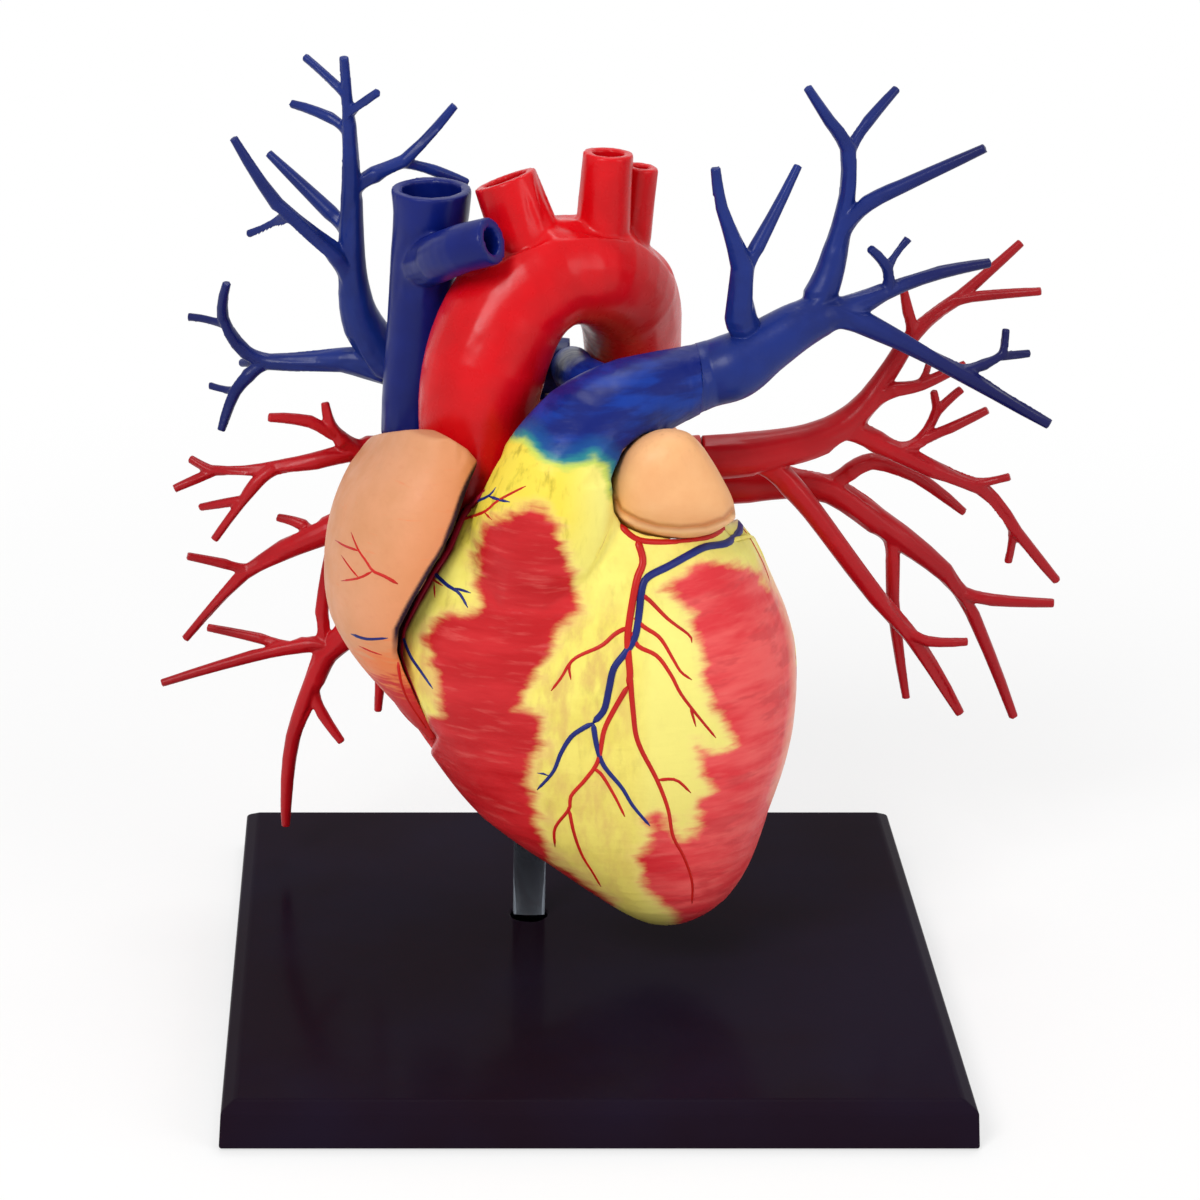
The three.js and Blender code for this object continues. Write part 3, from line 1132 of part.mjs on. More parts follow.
place(heartGroup, 'left_inferior_pulmonary_vein', rootedTree(LEFT_INFERIOR_VEIN, 1), 'vein');
place(heartGroup, 'right_superior_pulmonary_vein', rootedTree(RIGHT_SUPERIOR_VEIN, -1), 'vein');
place(heartGroup, 'right_middle_pulmonary_vein', rootedTree(RIGHT_MIDDLE_VEIN, -1), 'vein');
place(heartGroup, 'right_inferior_pulmonary_vein', rootedTree(RIGHT_INFERIOR_VEIN, -1), 'vein');

export default model;
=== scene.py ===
import json
import math

import bmesh
import bpy
import numpy as np
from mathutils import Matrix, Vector
from mathutils.bvhtree import BVHTree

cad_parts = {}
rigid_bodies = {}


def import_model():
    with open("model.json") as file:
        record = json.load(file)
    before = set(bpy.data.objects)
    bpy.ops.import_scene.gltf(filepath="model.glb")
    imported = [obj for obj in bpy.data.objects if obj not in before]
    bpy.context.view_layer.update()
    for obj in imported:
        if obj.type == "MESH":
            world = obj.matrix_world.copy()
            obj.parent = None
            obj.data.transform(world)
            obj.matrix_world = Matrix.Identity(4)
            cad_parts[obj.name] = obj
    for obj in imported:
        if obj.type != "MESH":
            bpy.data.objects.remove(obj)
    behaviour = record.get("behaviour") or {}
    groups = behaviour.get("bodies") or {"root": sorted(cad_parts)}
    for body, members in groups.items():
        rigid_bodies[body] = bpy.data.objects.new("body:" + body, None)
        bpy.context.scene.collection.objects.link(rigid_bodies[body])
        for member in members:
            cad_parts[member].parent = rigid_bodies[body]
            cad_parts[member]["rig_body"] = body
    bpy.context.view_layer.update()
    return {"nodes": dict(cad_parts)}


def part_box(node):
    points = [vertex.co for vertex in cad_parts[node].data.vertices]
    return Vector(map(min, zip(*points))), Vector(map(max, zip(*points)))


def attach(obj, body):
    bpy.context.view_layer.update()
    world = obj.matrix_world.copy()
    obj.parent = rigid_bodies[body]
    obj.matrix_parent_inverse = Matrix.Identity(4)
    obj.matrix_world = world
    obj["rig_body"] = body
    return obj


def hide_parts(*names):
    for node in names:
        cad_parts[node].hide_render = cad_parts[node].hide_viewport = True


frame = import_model()
MM = 0.001

# Camera of the photograph: a long lens tilted down, with the frame shifted to one side
CAMERA_PLACE = Vector((-26.26, -477.2, 229.9)) * MM
CAMERA_TILT = math.radians(20)
PHOTO_SIZE = 1200
FOCAL_PIXELS = 3825
PRINCIPAL_POINT = (391, 600)
SENSOR = 36
PIXEL = 0.135 * MM

RIGHT = Vector((1, 0, 0))
UP = Vector((0, math.sin(CAMERA_TILT), math.cos(CAMERA_TILT)))
AHEAD = Vector((0, math.cos(CAMERA_TILT), -math.sin(CAMERA_TILT)))

HEART_CENTRE = np.array((0.0, 4.0, 47.0)) * MM


def add_camera():
    camera = bpy.data.objects.new("camera", bpy.data.cameras.new("camera"))
    bpy.context.scene.collection.objects.link(camera)
    camera.location = CAMERA_PLACE
    camera.rotation_euler = (math.pi / 2 - CAMERA_TILT, 0, 0)
    camera.data.sensor_width = SENSOR
    camera.data.lens = FOCAL_PIXELS * SENSOR / PHOTO_SIZE
    camera.data.shift_x = (PHOTO_SIZE / 2 - PRINCIPAL_POINT[0]) / PHOTO_SIZE
    camera.data.shift_y = (PRINCIPAL_POINT[1] - PHOTO_SIZE / 2) / PHOTO_SIZE
    camera.data.clip_start = 0.01
    camera.data.clip_end = 20
    bpy.context.scene.camera = camera


def seen_direction(u, v):
    """Direction from the camera through a point of the photograph."""
    return (
        AHEAD
        + RIGHT * ((u - PRINCIPAL_POINT[0]) / FOCAL_PIXELS)
        + UP * ((PRINCIPAL_POINT[1] - v) / FOCAL_PIXELS)
    ).normalized()


def seen_at(points):
    """Where points of the model lie in the photograph."""
    away = points - np.array(CAMERA_PLACE)
    depth = away @ np.array(AHEAD)
    u = PRINCIPAL_POINT[0] + FOCAL_PIXELS * (away @ np.array(RIGHT)) / depth
    v = PRINCIPAL_POINT[1] - FOCAL_PIXELS * (away @ np.array(UP)) / depth
    return np.stack([u, v], axis=1)


# Meshes


def mesh_from(name, points, faces):
    mesh = bpy.data.meshes.new(name)
    mesh.from_pydata(points.tolist(), [], faces.tolist())
    mesh.update()
    return mesh


def points_of(mesh):
    points = np.empty(len(mesh.vertices) * 3, np.float32)
    mesh.vertices.foreach_get("co", points)
    return points.reshape(-1, 3).astype(float)


def normals_of(mesh):
    normals = np.empty(len(mesh.vertices) * 3, np.float32)
    mesh.vertices.foreach_get("normal", normals)
    return normals.reshape(-1, 3)


def move_points(mesh, points):
    mesh.vertices.foreach_set("co", points.astype(np.float32).ravel())
    mesh.update()


def link(name, mesh):
    obj = bpy.data.objects.new(name, mesh)
    bpy.context.scene.collection.objects.link(obj)
    return obj


def welded(source, name):
    """Triangles of a CAD mesh with shared corners."""
    work = bmesh.new()
    work.from_mesh(source)
    bmesh.ops.remove_doubles(work, verts=work.verts, dist=2e-6)
    bmesh.ops.triangulate(work, faces=work.faces)
    work.verts.ensure_lookup_table()
    points = np.array([vert.co for vert in work.verts])
    faces = np.array([[vert.index for vert in face.verts] for face in work.faces])
    work.free()
    return mesh_from(name, points, faces)


def bulged(mesh, crease, steps, swell):
    """The same surface with each flat facet curved to follow its neighbours, up to the crease angle."""
    mesh.polygons.foreach_set("use_smooth", [True] * len(mesh.polygons))
    mesh.set_sharp_from_angle(angle=math.radians(crease))
    points = points_of(mesh)
    faces = np.array([face.vertices[:] for face in mesh.polygons])
    normals = np.empty(len(mesh.loops) * 3, np.float32)
    mesh.corner_normals.foreach_get("vector", normals)
    normals = normals.reshape(-1, 3, 3).astype(float)
    spots = [(a, b) for a in range(steps + 1) for b in range(steps + 1 - a)]
    shares = np.array([(a / steps, b / steps, 1 - (a + b) / steps) for a, b in spots])
    place = {spot: index for index, spot in enumerate(spots)}
    corners = points[faces]
    flat = np.einsum("ms,fsk->fmk", shares, corners)
    lift = np.zeros_like(flat)
    for corner in range(3):
        away = flat - corners[:, None, corner]
        above = np.einsum("fmk,fk->fm", away, normals[:, corner])
        share = shares[None, :, corner, None]
        lift -= share * above[..., None] * normals[:, None, corner]
    flat = flat.reshape(-1, 3)
    lift = swell * lift.reshape(-1, 3)
    keys = np.round(flat / (0.0004 * MM)).astype(np.int64)
    _, first, inverse = np.unique(keys, axis=0, return_index=True, return_inverse=True)
    inverse = inverse.reshape(-1)
    count = np.bincount(inverse)
    moved = flat[first]
    for axis in range(3):
        moved[:, axis] += np.bincount(inverse, lift[:, axis]) / count
    small = []
    for a in range(steps):
        for b in range(steps - a):
            small.append((place[a, b], place[a + 1, b], place[a, b + 1]))
            if a + b < steps - 1:
                small.append((place[a + 1, b], place[a + 1, b + 1], place[a, b + 1]))
    offsets = np.arange(len(faces))[:, None, None] * len(shares)
    triangles = inverse[(offsets + np.array(small)[None]).reshape(-1, 3)]
    keep = (
        (triangles[:, 0] != triangles[:, 1])
        & (triangles[:, 1] != triangles[:, 2])
        & (triangles[:, 2] != triangles[:, 0])
    )
    return mesh_from(mesh.name, moved, triangles[keep])


def voxelled(name, mesh, voxel):
    """The mesh rebuilt from even small faces, which joins what overlaps and rounds its edges a little."""
    obj = link(name, mesh)
    modifier = obj.modifiers.new("even faces", "REMESH")
    modifier.mode = "VOXEL"
    modifier.voxel_size = voxel
    graph = bpy.context.evaluated_depsgraph_get()
    even = bpy.data.meshes.new_from_object(obj.evaluated_get(graph))
    obj.modifiers.clear()
    obj.data = even
    return obj


def smooth(obj, rounds, crisp=None):
    """Evens out the surface without shrinking it, and only a little where crisp says so."""
    mesh = obj.data
    points = points_of(mesh)
    share_of = np.ones(len(points)) if crisp is None else np.where(crisp(points), 0.25, 1.0)
    edges = np.empty(len(mesh.edges) * 2, np.int32)
    mesh.edges.foreach_get("vertices", edges)
    a, b = edges.reshape(-1, 2).T
    count = np.maximum(np.bincount(a, minlength=len(points)) + np.bincount(b, minlength=len(points)), 1)
    for index in range(2 * rounds):
        share = 0.5 if index % 2 == 0 else -0.52
        for axis in range(3):
            value = points[:, axis]
            total = np.bincount(a, value[b], len(points)) + np.bincount(b, value[a], len(points))
            points[:, axis] = value + share * share_of * (total / count - value)
    mesh.polygons.foreach_set("use_smooth", [True] * len(mesh.polygons))
    move_points(mesh, points)


def refined(node, name, voxel, rounds, crease=50, steps=4, swell=0.5, crisp=None):
    """A fine copy of a CAD node that rides on its body and stands for it."""
    source = frame["nodes"][node]
    mesh = bulged(welded(source.data, name), crease, steps, swell)
    obj = voxelled(name, mesh, voxel * MM)
    smooth(obj, rounds, crisp)
    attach(obj, source["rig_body"])
    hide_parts(node)
    return obj


def bvh_of(*objects):
    points, faces = [], []
    for obj in objects:
        base = len(points)
        points.extend(vert.co[:] for vert in obj.data.vertices)
        faces.extend([base + index for index in face.vertices] for face in obj.data.polygons)
    return BVHTree.FromPolygons(points, faces)


def attribute(obj, name, values):
    layer = obj.data.attributes.new(name, "FLOAT", "POINT")
    layer.data.foreach_set("value", np.asarray(values, np.float32))


# Materials


def linear(red, green, blue, alpha=1.0):
    """Colour in 0 to 255 steps, as it is seen, to the renderer's own values."""
    def one(value):
        share = value / 255
        return share / 12.92 if share <= 0.04045 else ((share + 0.055) / 1.055) ** 2.4
    return (one(red), one(green), one(blue), alpha)


class Paint:
    """A material whose colour, gloss and relief are put together from nodes."""

    def __init__(self, name):
        self.material = bpy.data.materials.new(name)
        self.material.use_nodes = True
        self.tree = self.material.node_tree
        self.shader = self.tree.nodes["Principled BSDF"]
        self.place = self.add("ShaderNodeTexCoord").outputs["Object"]

    def add(self, kind, inputs=None, **settings):
        node = self.tree.nodes.new(kind)
        for key, value in settings.items():
            setattr(node, key, value)
        for key, value in (inputs or {}).items():
            self.feed(node.inputs[key], value)
        return node

    def feed(self, socket, value):
        if isinstance(value, bpy.types.NodeSocket):
            self.tree.links.new(value, socket)
        else:
            socket.default_value = value

    def noise(self, size, detail=3.0, stretch=(1, 1, 1), turn=(0, 0, 0), rough=0.55):
        """Noise with features of about that size in millimetres, longer along the stretched axes."""
        mapping = self.add(
            "ShaderNodeMapping",
            {"Vector": self.place, "Scale": tuple(1 / (size * MM * s) for s in stretch), "Rotation": turn},
        )
        node = self.add(
            "ShaderNodeTexNoise",
            {"Vector": mapping.outputs["Vector"], "Scale": 1.0, "Detail": detail, "Roughness": rough},
        )
        return node.outputs["Fac"]

    def value(self, name):
        return self.add("ShaderNodeAttribute", attribute_name=name).outputs["Fac"]

    def math(self, operation, a, b=0.0, c=0.0):
        return self.add("ShaderNodeMath", {0: a, 1: b, 2: c}, operation=operation).outputs[0]

    def between(self, value, low, high):
        """0 below low, 1 above high, and smooth between them."""
        node = self.add(
            "ShaderNodeMapRange",
            {"Value": value, "From Min": low, "From Max": high, "To Min": 0.0, "To Max": 1.0},
            interpolation_type="SMOOTHSTEP",
        )
        return node.outputs["Result"]

    def mix(self, share, a, b):
        node = self.add("ShaderNodeMix", data_type="RGBA")
        self.feed(node.inputs[0], share)
        self.feed(node.inputs[6], a)
        self.feed(node.inputs[7], b)
        return node.outputs[2]

    def bump(self, height, strength, depth, under=None):
        node = self.add("ShaderNodeBump", {"Height": height, "Strength": strength, "Distance": depth * MM})
        if under is not None:
            self.feed(node.inputs["Normal"], under)
        return node.outputs["Normal"]

    def finish(self, colour, rough, normal=None, **constants):
        self.feed(self.shader.inputs["Base Color"], colour)
        self.feed(self.shader.inputs["Roughness"], rough)
        if normal is not None:
            self.feed(self.shader.inputs["Normal"], normal)
        for key, value in constants.items():
            self.shader.inputs[key.replace("_", " ")].default_value = value
        return self.material


def rough_from(paint, low, high, size):
    share = paint.between(paint.noise(size), 0.3, 0.7)
    return paint.math("MULTIPLY_ADD", share, high - low, low)


def moulded(name, colour, shade, dark_tip_and_shade=None, low=0.28, high=0.38, gloss=0.22):
    """Moulded, dyed plastic with faint cloudiness and a soft skin; a darker colour comes in with reach, for
    darker tips on the vessel trees and for painted shade on the aorta's foot.
    """
    paint = Paint(name)
    cloud = paint.between(paint.noise(7, 4), 0.3, 0.75)
    tone = paint.mix(cloud, colour, shade)
    if dark_tip_and_shade is not None:
        tone = paint.mix(paint.between(paint.value("reach"), 0.35, 1.0), tone, dark_tip_and_shade)
    normal = paint.bump(paint.noise(3.2, 2), 0.16, 0.12)
    return paint.finish(tone, rough_from(paint, low, high, 2.5), normal, Specular_IOR_Level=gloss)


def flecks(paint):
    return paint.between(paint.noise(0.9, 3, stretch=(1.6, 1.6, 1)), 0.52, 0.8)


def finish_skin(paint, tone):
    """Ends a hand-painted skin with a fine grain and a dull shine."""
    normal = paint.bump(paint.noise(1.4, 4), 0.35, 0.18)
    return paint.finish(tone, rough_from(paint, 0.42, 0.55, 2), normal, Specular_IOR_Level=0.3)


def left_atrium_skin():
    """Left atrium: washes of peach with fine darker flecks, and red collars."""
    paint = Paint("left atrium skin")
    wash = paint.between(paint.noise(9, 4), 0.3, 0.72)
    tone = paint.mix(wash, linear(228, 162, 118), linear(218, 146, 104))
    tone = paint.mix(paint.math("MULTIPLY", flecks(paint), 0.4), tone, linear(200, 118, 82))
    tone = paint.mix(paint.value("collar"), tone, linear(186, 26, 32))
    return finish_skin(paint, tone)


def right_atrium_skin():
    """Right atrium: peach above, more orange beside the groove, brushed to red at its foot, with painted
    shade along its rim by the groove.
    """
    paint = Paint("right atrium skin")
    wash = paint.between(paint.noise(9, 4), 0.3, 0.72)
    tone = paint.mix(wash, linear(215, 149, 104), linear(227, 159, 118))
    tone = paint.mix(paint.math("MULTIPLY", paint.value("inner_side"), 0.75), tone, linear(227, 140, 87))
    tone = paint.mix(paint.math("MULTIPLY", flecks(paint), 0.16), tone, linear(204, 120, 80))
    streak = paint.noise(0.7, 4, stretch=(6, 6, 1), turn=(0, -0.25, 0))
    foot = paint.math("MULTIPLY_ADD", paint.math("SUBTRACT", streak, 0.5), 1.1, paint.value("foot"))
    tone = paint.mix(paint.between(foot, 0.12, 0.45), tone, linear(232, 128, 74))
    tone = paint.mix(paint.between(foot, 0.5, 0.78), tone, linear(208, 46, 46))
    # Painted shade: near-black along the rim where the atrium meets the front wall
    tone = paint.mix(paint.value("rim"), tone, linear(34, 4, 32))
    return finish_skin(paint, tone)


def auricle_skin():
    """Left auricle: light orange with upright brush strokes and a rolled lip along its lower edge, with
    painted shade in the crease above it and a painted highlight on the roll.
    """
    paint = Paint("auricle skin")
    wash = paint.between(paint.noise(6, 4), 0.3, 0.72)
    tone = paint.mix(wash, linear(244, 184, 127), linear(238, 172, 115))
    stroke = paint.between(paint.noise(0.9, 4, stretch=(1, 1, 5)), 0.48, 0.78)
    top = paint.math("MULTIPLY", stroke, paint.value("crest"))
    tone = paint.mix(paint.math("MULTIPLY", top, 0.7), tone, linear(206, 142, 92))
    # Painted shade in the crease and a painted highlight on the rolled lip
    tone = paint.mix(paint.math("MULTIPLY", paint.value("lip"), 0.8), tone, linear(212, 132, 74))
    tone = paint.mix(paint.math("MULTIPLY", paint.value("roll"), 0.7), tone, linear(255, 206, 154))
    normal = paint.bump(paint.math("SUBTRACT", paint.value("roll"), paint.value("lip")), 0.8, 0.5)
    normal = paint.bump(paint.noise(1.2, 4), 0.3, 0.15, normal)
    return paint.finish(tone, rough_from(paint, 0.42, 0.55, 2), normal, Specular_IOR_Level=0.3)


def muscle_colour(paint, pink=0.0):
    """Red muscle in brushed fibres that run across and slightly down, pinker where pink says so."""
    fibre = paint.noise(1.1, 4, stretch=(5, 5, 0.8), turn=(0, 0.3, 0))
    broad = paint.noise(2.6, 3, stretch=(5, 5, 1), turn=(0, 0.22, 0))
    band = paint.between(broad, 0.34, 0.66)
    deep = paint.mix(band, linear(190, 24, 30), linear(207, 39, 44))
    light = paint.mix(band, linear(226, 52, 60), linear(240, 94, 92))
    tone = paint.mix(pink, deep, light)
    pale = paint.math("MULTIPLY", paint.between(fibre, 0.5, 0.8), 0.34)
    tone = paint.mix(pale, tone, linear(240, 120, 112))
    wave = paint.between(paint.noise(2.4, 3, stretch=(3.4, 3.4, 0.9), turn=(0, 0.18, 0)), 0.5, 0.66)
    stripe = paint.math("MULTIPLY", paint.math("MULTIPLY", wave, pink), 0.6)
    return paint.mix(stripe, tone, linear(206, 52, 58)), fibre


def fat_colour(paint):
    """Yellow fat with mustard stains, brushed down the heart."""
    wash = paint.between(paint.noise(4, 4), 0.35, 0.75)
    fat = paint.mix(wash, linear(250, 236, 116), linear(238, 220, 100))
    stain = paint.between(paint.noise(1.5, 4, stretch=(1, 1, 2.4)), 0.52, 0.78)
    return paint.mix(paint.math("MULTIPLY", stain, 0.55), fat, linear(204, 184, 82))


def inner_muscle(paint):
    return paint.mix(paint.noise(2.4, 4), linear(150, 40, 42), linear(196, 86, 78))


def painted_wall():
    """Front of the heart: yellow fat, red muscle and the blue foot of the lung artery, brushed by hand,
    with painted highlights on the upper fat and along the edge below the auricle.
    """
    paint = Paint("painted wall")
    ragged = paint.math("SUBTRACT", paint.noise(2.6, 5, stretch=(2.2, 2.2, 0.8), turn=(0, 0.3, 0)), 0.5)
    bristle = paint.math("SUBTRACT", paint.noise(0.55, 2, stretch=(5, 5, 0.8), turn=(0, 0.3, 0)), 0.5)
    fat = fat_colour(paint)
    # Painted highlight: paler lemon yellow on the upper fat and on its right
    fat = paint.mix(paint.value("lemon"), fat, linear(253, 246, 140))
    fat = paint.mix(paint.value("gold"), fat, linear(246, 222, 78))
    daub = paint.between(paint.noise(2.2, 5, stretch=(1, 1, 2.6), turn=(0, 0.35, 0)), 0.4, 0.68)
    fat = paint.mix(paint.math("MULTIPLY", daub, paint.value("tan")), fat, linear(224, 182, 104))
    olive = paint.between(paint.noise(1.2, 4, stretch=(1, 1, 3.4), turn=(0, 0.5, 0)), 0.5, 0.76)
    fat = paint.mix(paint.math("MULTIPLY", olive, paint.value("gold")), fat, linear(196, 176, 52))
    fat = paint.mix(paint.value("low"), fat, linear(232, 206, 104))
    muscle, fibre = muscle_colour(paint, paint.value("pink"))
    edge = paint.math("MULTIPLY_ADD", ragged, 4.2, paint.value("red"))
    edge = paint.math("MULTIPLY_ADD", bristle, 0.9, edge)
    rim = paint.math("MULTIPLY", paint.between(edge, -1.9, 0.3), 0.55)
    halo = paint.mix(rim, fat, linear(246, 208, 132))
    tone = paint.mix(paint.between(edge, -0.9, 1.1), halo, muscle)
    border = paint.math("MULTIPLY_ADD", ragged, 2.2, paint.value("blue"))
    border = paint.math("MULTIPLY_ADD", bristle, 0.7, border)
    tone = paint.mix(paint.between(border, -1.5, -0.3), tone, linear(196, 214, 96))
    tone = paint.mix(paint.between(border, -0.6, 0.5), tone, linear(40, 132, 138))
    tone = paint.mix(paint.between(border, 0.2, 1.5), tone, linear(14, 72, 140))
    sweep = paint.between(paint.noise(2.4, 4, stretch=(4, 4, 0.8), turn=(0, -0.6, 0)), 0.4, 0.66)
    navy = paint.mix(sweep, linear(5, 26, 108), linear(10, 54, 150))
    tone = paint.mix(paint.between(border, 1.3, 3.6), tone, navy)
    # Painted highlight: paler band along the edge below the auricle
    tone = paint.mix(paint.value("pale"), tone, linear(250, 186, 156))
    tone = paint.mix(paint.value("groove"), tone, linear(128, 8, 34))
    tone = paint.mix(paint.value("outer"), inner_muscle(paint), tone)
    relief = paint.bump(fibre, 0.3, 0.22)
    relief = paint.bump(paint.noise(2.2, 4), 0.3, 0.3, relief)
    return paint.finish(tone, rough_from(paint, 0.32, 0.44, 1.5), relief, Specular_IOR_Level=0.2)


def back_muscle():
    """Back of the heart: muscle with a yellow fatty groove."""
    paint = Paint("back muscle")
    ragged = paint.math("SUBTRACT", paint.noise(3.2, 5, stretch=(1.7, 1.7, 0.8)), 0.5)
    muscle, fibre = muscle_colour(paint, 0.35)
    edge = paint.math("MULTIPLY_ADD", ragged, 5.0, paint.value("fat"))
    tone = paint.mix(paint.between(edge, -0.5, 0.8), muscle, fat_colour(paint))
    tone = paint.mix(paint.value("outer"), inner_muscle(paint), tone)
    relief = paint.bump(fibre, 0.3, 0.22)
    return paint.finish(tone, rough_from(paint, 0.32, 0.44, 1.5), relief, Specular_IOR_Level=0.3)


def septum_muscle():
    """Septum: halfway between the outer and the inner muscle."""
    paint = Paint("septum muscle")
    tone, fibre = muscle_colour(paint, 0.3)
    tone = paint.mix(0.5, tone, inner_muscle(paint))
    relief = paint.bump(fibre, 0.3, 0.22)
    return paint.finish(tone, rough_from(paint, 0.34, 0.48, 1.5), relief, Specular_IOR_Level=0.3)


def base_plastic():
    """Near-black plastic with a violet cast and a faint shine."""
    paint = Paint("base plastic")
    cloud = paint.between(paint.noise(30, 3), 0.3, 0.7)
    tone = paint.mix(cloud, linear(30, 19, 29), linear(31, 23, 38))
    normal = paint.bump(paint.noise(0.35, 2), 0.05, 0.02)
    return paint.finish(tone, rough_from(paint, 0.14, 0.22, 14), normal, Specular_IOR_Level=0.006)


def acrylic():
    paint = Paint("clear acrylic")
    # The grey tint is painted shade: it darkens the rod's core as the dark base seen through it would
    tone = paint.mix(paint.noise(3, 2), linear(132, 138, 146), linear(112, 118, 127))
    material = paint.finish(tone, rough_from(paint, 0.0, 0.01, 6), IOR=1.49, Specular_IOR_Level=0.3)
    paint.shader.inputs["Transmission Weight"].default_value = 1.0
    return material


def valve_cream():
    """Cream plastic of the valves, painted like the wall round it where it shows outside."""
    paint = Paint("valve cream")
    wash = paint.between(paint.noise(2.5, 4), 0.3, 0.7)
    tone = paint.mix(wash, linear(232, 216, 186), linear(212, 190, 156))
    tone = paint.mix(paint.value("rim"), tone, fat_colour(paint))
    normal = paint.bump(paint.noise(0.8, 3), 0.25, 0.1)
    return paint.finish(tone, rough_from(paint, 0.4, 0.52, 1.5), normal, Specular_IOR_Level=0.3)


# Painted areas, in the photograph's own pixels

# Red muscle on the heart's own right and left
RED_RIGHT_SIDE = [
    (531, 506), (512, 511), (496, 517), (484, 526), (475, 553), (478, 583), (480, 604), (462, 611),
    (443, 616), (424, 640), (431, 665), (440, 691), (440, 710), (424, 722), (400, 745), (400, 800),
    (500, 870), (560, 915), (604, 930), (614, 903), (587, 879), (561, 863), (550, 855), (545, 828),
    (531, 801), (529, 769), (545, 742), (539, 718), (518, 707), (539, 672), (551, 651), (565, 624),
    (584, 608), (582, 600), (565, 553), (555, 526), (545, 512),
]
RED_LEFT_SIDE = [
    (762, 571), (740, 566), (716, 562), (689, 569), (673, 577), (668, 590), (684, 608), (694, 622),
    (700, 640), (703, 667), (708, 694), (721, 718), (732, 747), (712, 750), (697, 747), (705, 774),
    (711, 793), (700, 801), (697, 825), (684, 839), (676, 836), (666, 822), (657, 812), (646, 820),
    (652, 841), (636, 857), (641, 876), (649, 895), (668, 914), (690, 945), (760, 900), (820, 800),
    (830, 715), (812, 680), (802, 640), (786, 604), (772, 586),
]

# Edge of the heart below the auricle, where a paler band is painted on as a highlight along the edge
PALE_EDGE = [
    (766, 560), (773, 575), (785, 600), (793, 625), (798, 650), (799, 675), (799, 700), (795, 730),
    (788, 765), (776, 800),
]

# Fatty groove down the back and the fat above it, in millimetres
BACK_GROOVE_X = 2
BACK_GROOVE_TOP = 50
BACK_GROOVE_LEAN = 0.12
BACK_GROOVE_HALF = 3.2
BACK_FAT_FROM = 46

# Line where the right atrium meets the front wall
GROOVE_EDGE = [
    (484, 458), (474, 474), (468, 486), (463, 498), (459, 510), (455, 522), (450, 534), (446, 546),
    (439, 558), (431, 570), (424, 582), (417, 594), (410, 606), (404, 618), (398, 630), (397, 642),
    (397, 654), (401, 666), (406, 678),
]

# Blue foot of the lung artery
BLUE_TRUNK = [
    (480, 432), (505, 433), (526, 436), (535, 449), (546, 460), (564, 465), (584, 460), (595, 456),
    (607, 463), (613, 478), (616, 499), (640, 520), (780, 500), (800, 150), (480, 150),
]

# Crease and rolled lip along the auricle's lower edge, where painted shade and a painted highlight go
AURICLE_LIP = [
    (616, 500), (620, 510), (638, 520), (657, 526), (680, 528), (705, 526), (724, 519), (733, 510),
]
AURICLE_ROLL = [
    (613, 505), (620, 517), (636, 526), (657, 531), (680, 533), (707, 531), (728, 523), (737, 514),
]


def near_line(points, line):
    """How far points lie from a line through several corners, in its own units."""
    corners = np.array(line, float)
    nearest = np.full(len(points), np.inf)
    for start, end in zip(corners[:-1], corners[1:]):
        side = end - start
        share = np.clip(((points - start) @ side) / (side @ side), 0, 1)
        nearest = np.minimum(nearest, np.linalg.norm(points - start - share[:, None] * side, axis=1))
    return nearest


def inside_by(points, outline):
    """How far points lie inside an outline, in its own units, below zero outside it."""
    corners = np.array(outline + outline[:1], float)
    within = np.zeros(len(points), bool)
    for start, end in zip(corners[:-1], corners[1:]):
        side = end - start
        crosses = (start[1] > points[:, 1]) != (end[1] > points[:, 1])
        at = start[0] + (points[:, 1] - start[1]) * side[0] / (side[1] if side[1] else 1e-9)
        within ^= crosses & (points[:, 0] < at)
    nearest = near_line(points, corners)
    return np.where(within, nearest, -nearest)


def ramp(values, low, high):
    """0 at low, 1 at high, straight between them."""
    return np.clip((values - low) / (high - low), 0, 1)


def outer_share(obj, points):
    """1 where the surface looks away from the middle of the heart, 0 on the inside of its walls."""
    away = points - HEART_CENTRE
    away /= np.linalg.norm(away, axis=1)[:, None]
    return np.clip((np.sum(normals_of(obj.data) * away, axis=1) + 0.05) * 8, 0, 1)


def spline(route, spacing):
    """Even points along a smooth line through the route, each with its share of the way."""
    points = np.array(route, float)
    padded = np.vstack([2 * points[0] - points[1], points, 2 * points[-1] - points[-2]])
    fine = []
    for index in range(len(points) - 1):
        a, b, c, d = padded[index:index + 4]
        for t in np.linspace(0, 1, 12, endpoint=False):
            bend = (2 * a - 5 * b + 4 * c - d) * t**2
            fine.append(0.5 * ((2 * b) + (c - a) * t + bend + (3 * b - a - 3 * c + d) * t**3))
    fine = np.array(fine + [points[-1]])
    length = np.concatenate([[0], np.cumsum(np.linalg.norm(np.diff(fine, axis=0), axis=1))])
    wanted = np.linspace(0, length[-1], max(3, int(length[-1] / spacing) + 1))
    even = np.stack([np.interp(wanted, length, fine[:, axis]) for axis in range(points.shape[1])], axis=1)
    return even, wanted / length[-1]


# Pieces

# Plane where the left lung artery leaves the trunk, and the pin inside it
TRUNK_END_X = 13.6 * MM
TRUNK_END_LOW = 76 * MM
SEAM_BAND = 1.2 * MM
SEAM_CLOSE = 0.12 * MM
SEAM_PIN_CENTRE = np.array((1.8, 86.5)) * MM
SEAM_PIN_ROOM = 3 * MM

# How far from the seam the tube is rounded, how that fades, and the most that a point moves, in mm
ROUNDED_TRUNK = 5.5
ROUNDED_ARTERY = 16.5
ROUNDED_BEYOND = -1.5
ROUNDED_FADE = 4
MOST_RISE = (1.1, 0.75)

